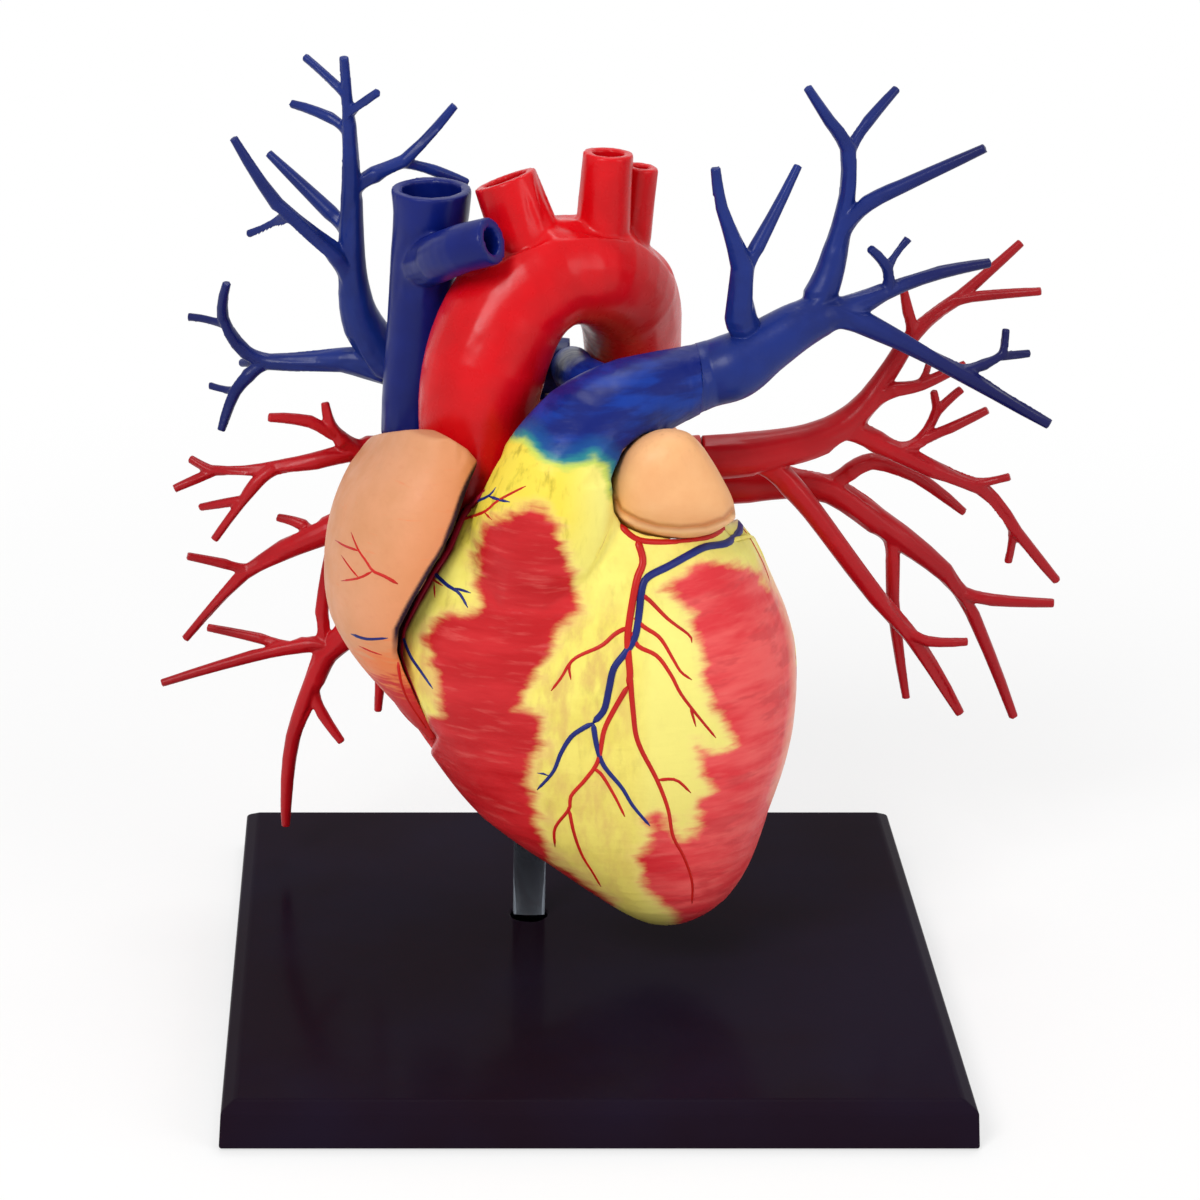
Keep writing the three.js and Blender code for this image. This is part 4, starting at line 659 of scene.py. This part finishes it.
# Root faces of the veins: the band beyond the pin's end that they lie in, and how far they move
ROOT_BAND = 4.5 * MM
PIN_END = 0.5 * MM
ROOT_CLOSE = 0.16 * MM

# How squarely a point has to face the way its face moves
ROOT_FACING = 0.35
PLATE_FACING = 0.6

# Valve plate: growth of its flat faces, its middle, half its width and depth, and its bevelled end
PLATE_GROWTH = 0.18 * MM
PLATE_MIDDLE = np.array((-0.2, 7.5)) * MM
PLATE_REACH = np.array((23.8, 21.5)) * MM
PLATE_END = np.array((735, 516))
PLATE_END_LEFT = 722
PLATE_END_SLOPE = np.array((27.0, -23.0)) / math.hypot(27, 23)

# Round tube of the trunk's end and the left lung artery: x, y, z and radius in millimetres
SEAM_TUBE = [
    (5.5, -2.8, 85, 5.7), (13.9, 1.8, 86.5, 4.4), (18.5, 1.9, 88, 4.4),
    (22.5, 2.4, 90.5, 3.7), (26.5, 2.9, 93, 3.2), (30, 3.4, 94.5, 2.7),
]


def by_the_seam(points):
    return (np.abs(points[:, 0] - TRUNK_END_X) < SEAM_BAND) & (points[:, 2] > TRUNK_END_LOW)


def close_seam(obj, side):
    """Rounds the tube on both sides of the seam and moves its rim a hair towards it."""
    points = points_of(obj.data)
    line, _ = spline(SEAM_TUBE, 0.25)
    line *= MM
    along = side * (TRUNK_END_X - points[:, 0]) / MM
    length = ROUNDED_TRUNK if side > 0 else ROUNDED_ARTERY
    near = np.flatnonzero((along > ROUNDED_BEYOND) & (along < length) & (points[:, 2] > TRUNK_END_LOW))
    away = points[near, None, :] - line[None, :, :3]
    reach = np.linalg.norm(away, axis=2)
    closest = np.argmin(reach, axis=1)
    rows = np.arange(len(near))
    out = reach[rows, closest]
    rise = line[closest, 3] - out
    share = ramp(along[near], length, length - ROUNDED_FADE)
    share *= ramp(np.abs(rise) / MM, *MOST_RISE)
    points[near] += (share * rise / np.maximum(out, 1e-6))[:, None] * away[rows, closest]
    moved = by_the_seam(points)
    if side < 0:
        moved &= np.linalg.norm(points[:, 1:] - SEAM_PIN_CENTRE, axis=1) > SEAM_PIN_ROOM
    points[moved, 0] += side * SEAM_CLOSE
    move_points(obj.data, points)


def close_root(obj, side):
    """Moves the flat face round the root's pin a hair towards its collar; side 1 is the photo's right."""
    points = points_of(obj.data)
    inwards = -side * normals_of(obj.data)[:, 0]
    away = side * points[:, 0]
    face = (inwards > ROOT_FACING) & (away < np.min(away) + ROOT_BAND) & (away > np.min(away) + PIN_END)
    points[face, 0] -= side * ROOT_CLOSE
    move_points(obj.data, points)


def close_plate_gaps(obj):
    """Lets the plate's flat faces meet what lies above and below them, so that no light shows between."""
    points = points_of(obj.data)
    upright = normals_of(obj.data)[:, 2]
    points[:, 2] += np.where(np.abs(upright) > PLATE_FACING, upright, 0) * PLATE_GROWTH
    move_points(obj.data, points)


def bevel_plate_end(obj):
    """Takes the upper corner off the plate's right end, along a line of the photograph's pixels."""
    points = points_of(obj.data)
    seen = seen_at(points)
    over = np.maximum((seen - PLATE_END) @ PLATE_END_SLOPE, 0) * (seen[:, 0] > PLATE_END_LEFT)
    over *= ramp(points[:, 1] / MM, 22, 14)
    across, down = PLATE_END_SLOPE
    shift = np.outer(over * across, np.array(RIGHT)) - np.outer(over * down, np.array(UP))
    points -= shift * PIXEL
    move_points(obj.data, points)


heart_front = refined("ventricle_front_wall", "front_wall", 0.3, 7, crisp=by_the_seam)
close_seam(heart_front, 1)
heart_back = refined("ventricle_back_wall", "back_wall", 0.36, 8)
right_atrium = refined("right_atrium", "right_atrium_skin", 0.3, 7)
left_auricle = refined("left_auricle", "left_auricle_skin", 0.3, 8)
left_atrium = refined("left_atrium", "left_atrium_skin", 0.36, 8)
aorta = refined("aorta", "aorta_skin", 0.3, 9)
cava = refined("superior_vena_cava", "superior_cava_skin", 0.28, 8)
lower_cava = refined("inferior_vena_cava", "inferior_cava_skin", 0.3, 6)

spot = points_of(heart_front.data)
pixels = seen_at(spot)
u, v = pixels.T
red = np.maximum(inside_by(pixels, RED_RIGHT_SIDE), inside_by(pixels, RED_LEFT_SIDE))
attribute(heart_front, "red", red * PIXEL / MM)
attribute(heart_front, "blue", inside_by(pixels, BLUE_TRUNK) * PIXEL / MM)
attribute(heart_front, "outer", np.maximum(outer_share(heart_front, spot), ramp(spot[:, 2] / MM, 71, 73)))
attribute(heart_front, "low", 0.5 * ramp(v, 640, 860))
# Painted highlight: the fat grows paler towards the top and on the right
lemon_above = 0.8 * ramp(v, 620, 500) * ramp(u, 545, 590)
lemon_beside = 0.7 * ramp(u, 632, 652) * ramp(v, 560, 620)
attribute(heart_front, "lemon", np.maximum(lemon_above, lemon_beside))
attribute(heart_front, "gold", ramp(v, 570, 520) * ramp(u, 605, 560))
attribute(heart_front, "tan", 0.8 * ramp(v, 580, 630) * ramp(u, 650, 610))
attribute(heart_front, "pink", ramp(u, 590, 690))
# Painted highlight along the edge below the auricle, only where the surface faces the camera
facing = ramp(-(normals_of(heart_front.data) @ np.array(AHEAD)), -0.1, 0.15)
attribute(heart_front, "pale", 0.7 * facing * ramp(near_line(pixels, PALE_EDGE), 11, 3))
groove_ends = ramp(v, 486, 500) * ramp(v, 690, 640)
attribute(heart_front, "groove", ramp(near_line(pixels, GROOVE_EDGE), 10.5, 7.5) * groove_ends)

spot = points_of(heart_back.data)
x, _, z = spot.T / MM
groove = np.abs(x - BACK_GROOVE_X - BACK_GROOVE_LEAN * (BACK_GROOVE_TOP - z))
attribute(heart_back, "fat", np.maximum(BACK_GROOVE_HALF - groove, (z - BACK_FAT_FROM) * 0.8))
attribute(heart_back, "outer", outer_share(heart_back, spot))

spot = points_of(right_atrium.data)
pixels = seen_at(spot)
u, v = pixels.T
attribute(right_atrium, "foot", ramp(v, 632, 712))
attribute(right_atrium, "inner_side", ramp(u + 0.45 * (v - 450), 420, 490))
# Painted shade along the atrium's rim beside the groove
attribute(right_atrium, "rim", ramp(near_line(pixels, GROOVE_EDGE), 5.5, 3) * ramp(v, 662, 634))

spot = points_of(aorta.data)
pixels = seen_at(spot)
u, v = pixels.T
# Painted shade: the aorta's foot beside the right atrium darkens where the groove's shadow falls on it
attribute(aorta, "reach", 0.7 * ramp(near_line(pixels, GROOVE_EDGE), 20, 10) * ramp(v, 456, 478))

spot = points_of(left_atrium.data)
left_veins = ("left_superior_pulmonary_vein", "left_inferior_pulmonary_vein")
surfaces = [bvh_of(frame["nodes"][node]) for node in left_veins]
nearness = np.array([min(tree.find_nearest(Vector(at))[3] for tree in surfaces) for at in spot])
attribute(left_atrium, "collar", ramp(nearness / MM, 1.5, 0.9))

spot = points_of(left_auricle.data)
pixels = seen_at(spot)
u, v = pixels.T
front = spot[:, 1] < 2 * MM
# Painted shade along the crease and a painted highlight along the roll
attribute(left_auricle, "lip", front * np.exp(-((near_line(pixels, AURICLE_LIP) / 2.4) ** 2)))
attribute(left_auricle, "roll", front * np.exp(-((near_line(pixels, AURICLE_ROLL) / 2.8) ** 2)))
attribute(left_auricle, "crest", ramp(v, 475, 425))

TREES = {
    "right_pulmonary_artery": ("right_artery_tree", "blue"),
    "left_pulmonary_artery": ("left_artery_tree", "blue"),
    "left_superior_pulmonary_vein": ("left_upper_vein_tree", "red"),
    "left_inferior_pulmonary_vein": ("left_lower_vein_tree", "red"),
    "right_superior_pulmonary_vein": ("right_upper_vein_tree", "red"),
    "right_middle_pulmonary_vein": ("right_middle_vein_tree", "red"),
    "right_inferior_pulmonary_vein": ("right_lower_vein_tree", "red"),
}

# The vessels darken towards their tips, by the distance from the middle between them in millimetres
TREES_MIDDLE = -3
TREES_DARKEN = (12, 58)

BLUE_LOOK = moulded("blue vessel", linear(22, 44, 122), linear(18, 35, 104), linear(14, 16, 76))
RED_LOOK = moulded("red vessel", linear(192, 18, 28), linear(172, 12, 22), linear(158, 14, 24))
for node, (name, colour) in TREES.items():
    crisp = by_the_seam if name == "left_artery_tree" else None
    tree = refined(node, name, 0.18, 16, crease=80, steps=3, swell=0.64, crisp=crisp)
    spot = points_of(tree.data)
    attribute(tree, "reach", ramp(np.abs(spot[:, 0] / MM - TREES_MIDDLE), *TREES_DARKEN))
    tree.data.materials.append(BLUE_LOOK if colour == "blue" else RED_LOOK)
    if crisp:
        close_seam(tree, -1)
    elif node.endswith("vein"):
        close_root(tree, 1 if node.startswith("left") else -1)

heart_front.data.materials.append(painted_wall())
heart_back.data.materials.append(back_muscle())
right_atrium.data.materials.append(right_atrium_skin())
left_auricle.data.materials.append(auricle_skin())
left_atrium.data.materials.append(left_atrium_skin())
# The aorta's third colour is painted shade for its foot in the groove's shadow
aorta.data.materials.append(
    moulded("aorta", linear(218, 8, 20), linear(200, 6, 16), linear(140, 2, 16), low=0.24, high=0.32)
)
CAVA_LOOK = moulded("cava", linear(9, 28, 112), linear(7, 21, 98))
for obj in (cava, lower_cava):
    obj.data.materials.append(CAVA_LOOK)

CREAM = valve_cream()
VALVES = {
    "valve_plate": ("valve_plate_skin", 0.3),
    "mitral_valve": ("mitral_leaflets", 0.2),
    "tricuspid_valve": ("tricuspid_leaflets", 0.18),
    "aortic_valve": ("aortic_cups", 0.16),
    "pulmonary_valve": ("pulmonary_cups", 0.18),
}
for node, (name, voxel) in VALVES.items():
    valve = refined(node, name, voxel, 5)
    spot = points_of(valve.data)
    if node == "valve_plate":
        outwards = np.linalg.norm((spot[:, :2] - PLATE_MIDDLE) / PLATE_REACH, axis=1)
        attribute(valve, "rim", ramp(outwards, 0.86, 0.92))
    else:
        attribute(valve, "rim", np.zeros(len(spot)))
    valve.data.materials.append(CREAM)
    if node == "valve_plate":
        plate = valve
        close_plate_gaps(plate)
        bevel_plate_end(plate)


# Coronary vessels, as routes in the photograph's pixels with the widths at both ends

ARTERIES = [
    (
        [(616, 493), (617, 510), (622, 526), (637, 539), (660, 542), (687, 540), (714, 535), (735, 517)],
        7,
        5,
    ),
    (
        [(637, 539), (643, 561), (637, 579), (632, 605), (628, 632), (628, 650), (630, 675), (628, 686)],
        8,
        7,
    ),
    (
        [
            (628, 686), (614, 710), (604, 731), (598, 761), (585, 780), (571, 796), (569, 809), (555, 828),
            (555, 847),
        ],
        6,
        3,
    ),
    ([(569, 809), (574, 833), (582, 855), (593, 873), (601, 887)], 4, 2.5),
    ([(592, 768), (601, 774), (614, 795), (625, 817)], 4, 2.5),
    (
        [
            (630, 675), (633, 710), (638, 742), (657, 780), (668, 809), (673, 836), (684, 857), (692, 881),
            (692, 904),
        ],
        6,
        2.5,
    ),
    ([(657, 780), (676, 780), (691, 793)], 4, 2.5),
    ([(628, 627), (615, 634), (601, 646), (574, 659), (561, 678), (551, 691)], 5, 2.5),
    ([(572, 661), (569, 667), (571, 680)], 3.5, 2),
    ([(637, 592), (649, 600), (668, 619), (689, 635), (692, 643)], 5, 2.5),
    ([(634, 618), (644, 627), (660, 638), (673, 659), (681, 672), (692, 680)], 5, 2.5),
    ([(632, 632), (638, 646), (657, 656), (671, 675), (681, 694), (697, 715), (716, 738)], 5, 2.5),
    ([(690, 706), (696, 727)], 3.5, 2),
    ([(461, 520), (484, 512), (496, 502), (510, 494), (526, 486)], 4, 2),
    ([(484, 512), (492, 520)], 3, 2),
    ([(429, 577), (443, 586)], 3, 2),
    ([(434, 583), (435, 598)], 3, 2),
    ([(742, 527), (752, 542), (760, 557), (765, 568), (770, 582)], 3, 2),
]
VEINS = [
    (
        [
            (736, 517), (740, 523), (739, 532), (727, 543), (705, 547), (687, 556), (669, 566), (648, 577),
            (642, 589), (639, 614), (635, 637), (626, 652), (614, 668), (609, 689), (604, 710), (593, 723),
        ],
        8.5,
        7,
    ),
    ([(593, 723), (582, 729), (571, 737), (561, 753), (553, 772), (537, 790)], 6, 3),
    ([(549, 776), (545, 774), (537, 773)], 3, 2),
    ([(593, 723), (597, 747), (604, 766), (622, 788), (633, 806), (650, 826)], 6, 3),
    ([(465, 506), (478, 501), (490, 495), (496, 487)], 4.5, 2.5),
    ([(488, 496), (500, 500), (510, 502)], 3.5, 2.5),
    ([(433, 572), (447, 585), (459, 593), (468, 608)], 5, 2.5),
    ([(455, 588), (471, 593)], 3.5, 2),
    ([(402, 634), (410, 655), (422, 673), (433, 689)], 5, 2.5),
]
GROOVE_VESSELS = [
    (
        [
            (485, 490), (478, 498), (467.5, 510), (460.5, 522), (455.5, 534), (450.5, 546), (443.5, 558),
            (435.5, 570), (428.5, 582), (421.5, 594), (415.5, 606), (409.5, 618), (404.5, 630), (403, 642),
            (402, 654), (405, 666), (409.5, 678), (420, 702),
        ],
        10,
        3,
    ),
]
# Dark thread deep in the gap between the right atrium and the front wall: painted shade that keeps light
# from showing through
GROOVE_SHADE_LINES = [
    (
        [
            (418, 594), (411, 606), (408, 612), (405, 618), (402, 624), (399.5, 630), (398.5, 637),
            (398, 648), (398, 654),
        ],
        2.4,
        2.4,
    ),
]
# Gap beside the valve plate's right end, filled from behind
PLATE_GAP = [([(731, 541), (737, 539), (743, 537.5), (749, 536), (754, 537)], 5, 4)]
ATRIUM_TWIGS = [
    ([(398, 584), (384, 576), (373, 571), (366, 561), (359, 551), (354, 540), (351, 532)], 4, 2),
    ([(359, 551), (345, 546), (335, 540)], 3, 2),
    ([(373, 571), (359, 578), (341, 581)], 3, 2),
    ([(359, 578), (351, 569), (341, 555)], 2.6, 2),
    ([(359, 646), (370, 651), (382, 655)], 2.6, 2),
    ([(398, 662), (400, 678), (404, 692), (410, 704), (418, 716), (426, 728)], 3.6, 2.4),
]
ATRIUM_VEINS = [([(351, 634), (367, 639), (388, 638)], 4, 2.6)]

# Vessels on the back of the heart, as routes of x and z in millimetres, with widths in pixels too
BACK_ARTERIES = [
    ([(0, 47), (1.6, 42), (3, 36), (4.6, 30), (6.6, 24), (10, 18)], 7, 3),
    ([(2.2, 39), (-2, 35), (-5.5, 30)], 4.5, 2),
    ([(4.4, 31), (9, 28), (12.5, 23)], 4.5, 2),
    ([(10, 49), (14, 43), (15.5, 36), (18, 29)], 5, 2.4),
]
BACK_VEINS = [
    ([(-15, 43.5), (-8, 45), (2, 48.5), (10, 51.5), (18, 54)], 14, 9),
    ([(2.6, 47.5), (4.4, 41), (6, 35), (7.6, 29), (9.6, 23), (13, 17.5)], 7, 3),
    ([(-7, 44.5), (-8.5, 38), (-7.5, 32)], 4.5, 2.4),
]


def from_camera(u, v):
    return CAMERA_PLACE, seen_direction(u, v)


def from_behind(x, z):
    return Vector((x, 200, z)) * MM, Vector((0, -1, 0))


def on_surface(tree, route, line, spacing):
    """Points and normals where the lines through a route meet a surface."""
    even, shares = spline(route, spacing)
    found = []
    for spot, share in zip(even, shares):
        place, normal, _, _ = tree.ray_cast(*line(*spot))
        if place is not None:
            found.append((place, normal, share))
    return found


def in_gap(tree, route, aside, deeper, below=0):
    """Points of a route set a little behind the surface that lies to its right or below it."""
    even, shares = spline(route, 5)
    found = []
    for (u, v), share in zip(even, shares):
        place, _, _, reach = tree.ray_cast(*from_camera(u + aside, v + below))
        if place is not None:
            ahead = seen_direction(u, v)
            found.append((CAMERA_PLACE + ahead * (reach + deeper), -ahead, share))
    return found


# Ring of a vessel: its sides, then its height, lift, sink and ends as shares of its radius
RING_SIDES = 10
RING_HEIGHT = 0.75
RING_LIFT = 0.2
RING_SINK = 0.35
RING_ENDS = 0.35


def vessel_rings(found, start, end):
    """Points of a low tapering tube that lies on the surface."""
    rings = []
    for index, (place, normal, share) in enumerate(found):
        before = found[max(index - 1, 0)][0]
        after = found[min(index + 1, len(found) - 1)][0]
        ahead = (after - before).normalized()
        across = ahead.cross(normal).normalized()
        radius = (start + (end - start) * share) / 2 * PIXEL
        width = radius * (RING_ENDS if index in (0, len(found) - 1) else 1.0)
        centre = place + normal * (radius * (RING_LIFT - RING_SINK))
        turns = (2 * math.pi * side / RING_SIDES for side in range(RING_SIDES))
        rings.append([
            centre + across * (width * math.cos(turn)) + normal * (width * RING_HEIGHT * math.sin(turn))
            for turn in turns
        ])
    return rings


def add_tubes(name, groups, body, look):
    """One piece from several vessels, each with its points and its width at both ends."""
    points, faces = [], []
    for found, start, end in groups:
        rings = vessel_rings(found, start, end)
        if len(rings) < 2:
            continue
        base, sides = len(points), len(rings[0])
        for ring in rings:
            points.extend(ring)
        for index in range(len(rings) - 1):
            for side in range(sides):
                a = base + index * sides + side
                b = base + index * sides + (side + 1) % sides
                faces.append((a, b, b + sides, a + sides))
        faces.append(tuple(base + side for side in reversed(range(sides))))
        last = base + (len(rings) - 1) * sides
        faces.append(tuple(last + side for side in range(sides)))
    mesh = bpy.data.meshes.new(name)
    mesh.from_pydata(points, [], faces)
    mesh.polygons.foreach_set("use_smooth", [True] * len(mesh.polygons))
    obj = link(name, mesh)
    mesh.materials.append(look)
    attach(obj, body)
    return obj


def laid(groups, *surfaces, line=from_camera, spacing=5):
    """Vessels laid on the surfaces along the lines of sight that are asked for."""
    tree = bvh_of(*surfaces)
    return [(on_surface(tree, route, line, spacing), start, end) for route, start, end in groups]


# Roughness and shine of the vessels' paints
THIN = {"low": 0.3, "high": 0.42}
DULL = {"high": 0.5, "gloss": 0.15}

ARTERY_PAINT = moulded("coronary artery paint", linear(204, 34, 26), linear(184, 24, 22), **THIN)
VEIN_PAINT = moulded("coronary vein paint", linear(30, 42, 122), linear(24, 32, 98), **THIN)
GROOVE_PAINT = moulded("groove vessel paint", linear(158, 12, 40), linear(136, 8, 34), low=0.35, **DULL)
# Painted shade for the thread deep in the groove's gap
GROOVE_SHADE_PAINT = moulded("painted groove shade", linear(48, 14, 44), linear(40, 12, 40), low=0.4, **DULL)

arteries = laid(ARTERIES, heart_front, plate)
add_tubes("coronary_arteries", arteries, "front_wall", ARTERY_PAINT)
veins = laid(VEINS, heart_front, plate)
add_tubes("coronary_veins", veins, "front_wall", VEIN_PAINT)
groove_vessels = laid(GROOVE_VESSELS, heart_front, spacing=4)
add_tubes("groove_vessel", groove_vessels, "front_wall", GROOVE_PAINT)
wall_tree = bvh_of(heart_front)
# Painted shade: a dark thread set behind the surface in the groove's gap
add_tubes(
    "groove_shade_line",
    [(in_gap(wall_tree, route, 4, 1.2 * MM), start, end) for route, start, end in GROOVE_SHADE_LINES],
    "front_wall",
    GROOVE_SHADE_PAINT,
)
plate_filler = add_tubes(
    "plate_filler",
    [(in_gap(wall_tree, route, 0, 0.6 * MM, 5), start, end) for route, start, end in PLATE_GAP],
    "front_wall",
    CREAM,
)
attribute(plate_filler, "rim", np.ones(len(plate_filler.data.vertices)))
add_tubes("atrium_twigs", laid(ATRIUM_TWIGS, right_atrium), "right_atrium", ARTERY_PAINT)
add_tubes("atrium_veins", laid(ATRIUM_VEINS, right_atrium), "right_atrium", VEIN_PAINT)
behind = {"line": from_behind, "spacing": 0.6}
add_tubes("back_arteries", laid(BACK_ARTERIES, heart_back, **behind), "heart", ARTERY_PAINT)
add_tubes("back_veins", laid(BACK_VEINS, heart_back, **behind), "heart", VEIN_PAINT)


# Base, post and inner pieces

base = link("base_slab", welded(frame["nodes"]["base_plate"].data, "base_slab"))
soften = base.modifiers.new("soft edges", "BEVEL")
soften.width = 0.35 * MM
soften.segments = 3
soften.limit_method = "ANGLE"
soften.angle_limit = math.radians(20)
base.data = bpy.data.meshes.new_from_object(base.evaluated_get(bpy.context.evaluated_depsgraph_get()))
base.modifiers.clear()
base.data.materials.append(base_plastic())
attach(base, "base")
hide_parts("base_plate")


def lathe(name, profile, sides, x, y):
    """Round piece from pairs of radius and height."""
    turns = [2 * math.pi * side / sides for side in range(sides)]
    points = [
        (x + radius * math.cos(turn), y + radius * math.sin(turn), z)
        for radius, z in profile
        for turn in turns
    ]
    faces = [
        (r * sides + s, r * sides + (s + 1) % sides, (r + 1) * sides + (s + 1) % sides, (r + 1) * sides + s)
        for r in range(len(profile) - 1)
        for s in range(sides)
    ]
    faces.append(tuple(reversed(range(sides))))
    faces.append(tuple((len(profile) - 1) * sides + s for s in range(sides)))
    mesh = bpy.data.meshes.new(name)
    mesh.from_pydata(points, [], faces)
    mesh.polygons.foreach_set("use_smooth", [True] * (len(faces) - 2) + [False] * 2)
    return link(name, mesh)


low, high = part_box("post")
radius = (high.x - low.x) / 2
edge = 0.3 * MM
post = lathe(
    "clear_post_rod",
    [(radius - edge, low.z), (radius, low.z + edge), (radius, high.z - edge), (radius - edge, high.z)],
    64,
    (low.x + high.x) / 2,
    (low.y + high.y) / 2,
)
post.data.materials.append(acrylic())
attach(post, "post")
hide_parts("post")

septum = refined("ventricular_septum", "septum_muscle", 0.36, 6)
septum.data.materials.append(septum_muscle())


# Floor, light and camera

FLOOR_HALF = 4
FLOOR_DROP = 0.2 * MM

# Distances from the stand over which the floor's shadow fades, and the share of plain white near by
SHADOW_FADE = (0.09, 0.3)
PLAIN_NEAR = 0.6

# Strength of the surroundings as a light; where they are seen, they are full white
SURROUNDING_LIGHT = 0.4

# Round lamps: place, the point they face, width and power
LAMPS = {
    "key": ((-0.45, -0.75, 0.75), (0, 0, 0.06), 0.45, 6.2),
    "fill": ((0.8, -0.6, 0.45), (0, 0, 0.06), 0.6, 2.2),
    "top": ((0.1, 0.25, 1.0), (0, 0, 0.05), 0.5, 2.8),
}


def add_floor():
    """White floor that keeps the shadow near the stand."""
    mesh = bpy.data.meshes.new("floor")
    corners = [(-1, -1), (1, -1), (1, 1), (-1, 1)]
    mesh.from_pydata([(x * FLOOR_HALF, y * FLOOR_HALF, 0) for x, y in corners], [], [(0, 1, 2, 3)])
    floor = link("floor", mesh)
    paint = Paint("pale floor")
    tone = paint.mix(paint.noise(60, 2), linear(252, 252, 252), linear(255, 255, 255))
    paint.finish(tone, 0.9, Specular_IOR_Level=0.0)
    away = paint.add("ShaderNodeVectorMath", {0: paint.place}, operation="LENGTH").outputs["Value"]
    plain = paint.math("MULTIPLY_ADD", paint.between(away, *SHADOW_FADE), 1 - PLAIN_NEAR, PLAIN_NEAR)
    path = paint.add("ShaderNodeLightPath")
    seen = paint.math("MAXIMUM", path.outputs["Is Camera Ray"], path.outputs["Is Transmission Ray"])
    seen = paint.math("MAXIMUM", seen, path.outputs["Is Glossy Ray"])
    glow = paint.add("ShaderNodeEmission", {"Color": (1, 1, 1, 1), "Strength": 1.0}).outputs["Emission"]
    blend = paint.add("ShaderNodeMixShader", {0: paint.math("MULTIPLY", seen, plain)})
    paint.tree.links.new(paint.shader.outputs["BSDF"], blend.inputs[1])
    paint.tree.links.new(glow, blend.inputs[2])
    paint.tree.links.new(blend.outputs["Shader"], paint.tree.nodes["Material Output"].inputs["Surface"])
    mesh.materials.append(paint.material)
    floor.location.z = -FLOOR_DROP


def add_surroundings():
    """Surroundings that are seen as white and give less light than that."""
    world = bpy.data.worlds.new("studio")
    bpy.context.scene.world = world
    world.use_nodes = True
    tree = world.node_tree
    background = tree.nodes["Background"]
    background.inputs["Color"].default_value = (1, 1, 1, 1)
    path = tree.nodes.new("ShaderNodeLightPath")
    seen = path.outputs["Is Camera Ray"]
    for kind in ("Is Transmission Ray", "Is Glossy Ray"):
        either = tree.nodes.new("ShaderNodeMath")
        either.operation = "MAXIMUM"
        tree.links.new(seen, either.inputs[0])
        tree.links.new(path.outputs[kind], either.inputs[1])
        seen = either.outputs[0]
    strength = tree.nodes.new("ShaderNodeMapRange")
    strength.inputs["To Min"].default_value = SURROUNDING_LIGHT
    strength.inputs["To Max"].default_value = 1.0
    tree.links.new(seen, strength.inputs["Value"])
    tree.links.new(strength.outputs["Result"], background.inputs["Strength"])


def add_lamp(name, place, target, size, power):
    lamp = bpy.data.lights.new(name, "AREA")
    lamp.shape = "DISK"
    lamp.size = size
    lamp.energy = power
    obj = bpy.data.objects.new(name, lamp)
    bpy.context.scene.collection.objects.link(obj)
    obj.location = place
    obj.rotation_euler = (Vector(target) - Vector(place)).to_track_quat("-Z", "Y").to_euler()


add_camera()
add_floor()
add_surroundings()
for name, settings in LAMPS.items():
    add_lamp(name, *settings)

scene = bpy.context.scene
scene.view_settings.view_transform = "Standard"
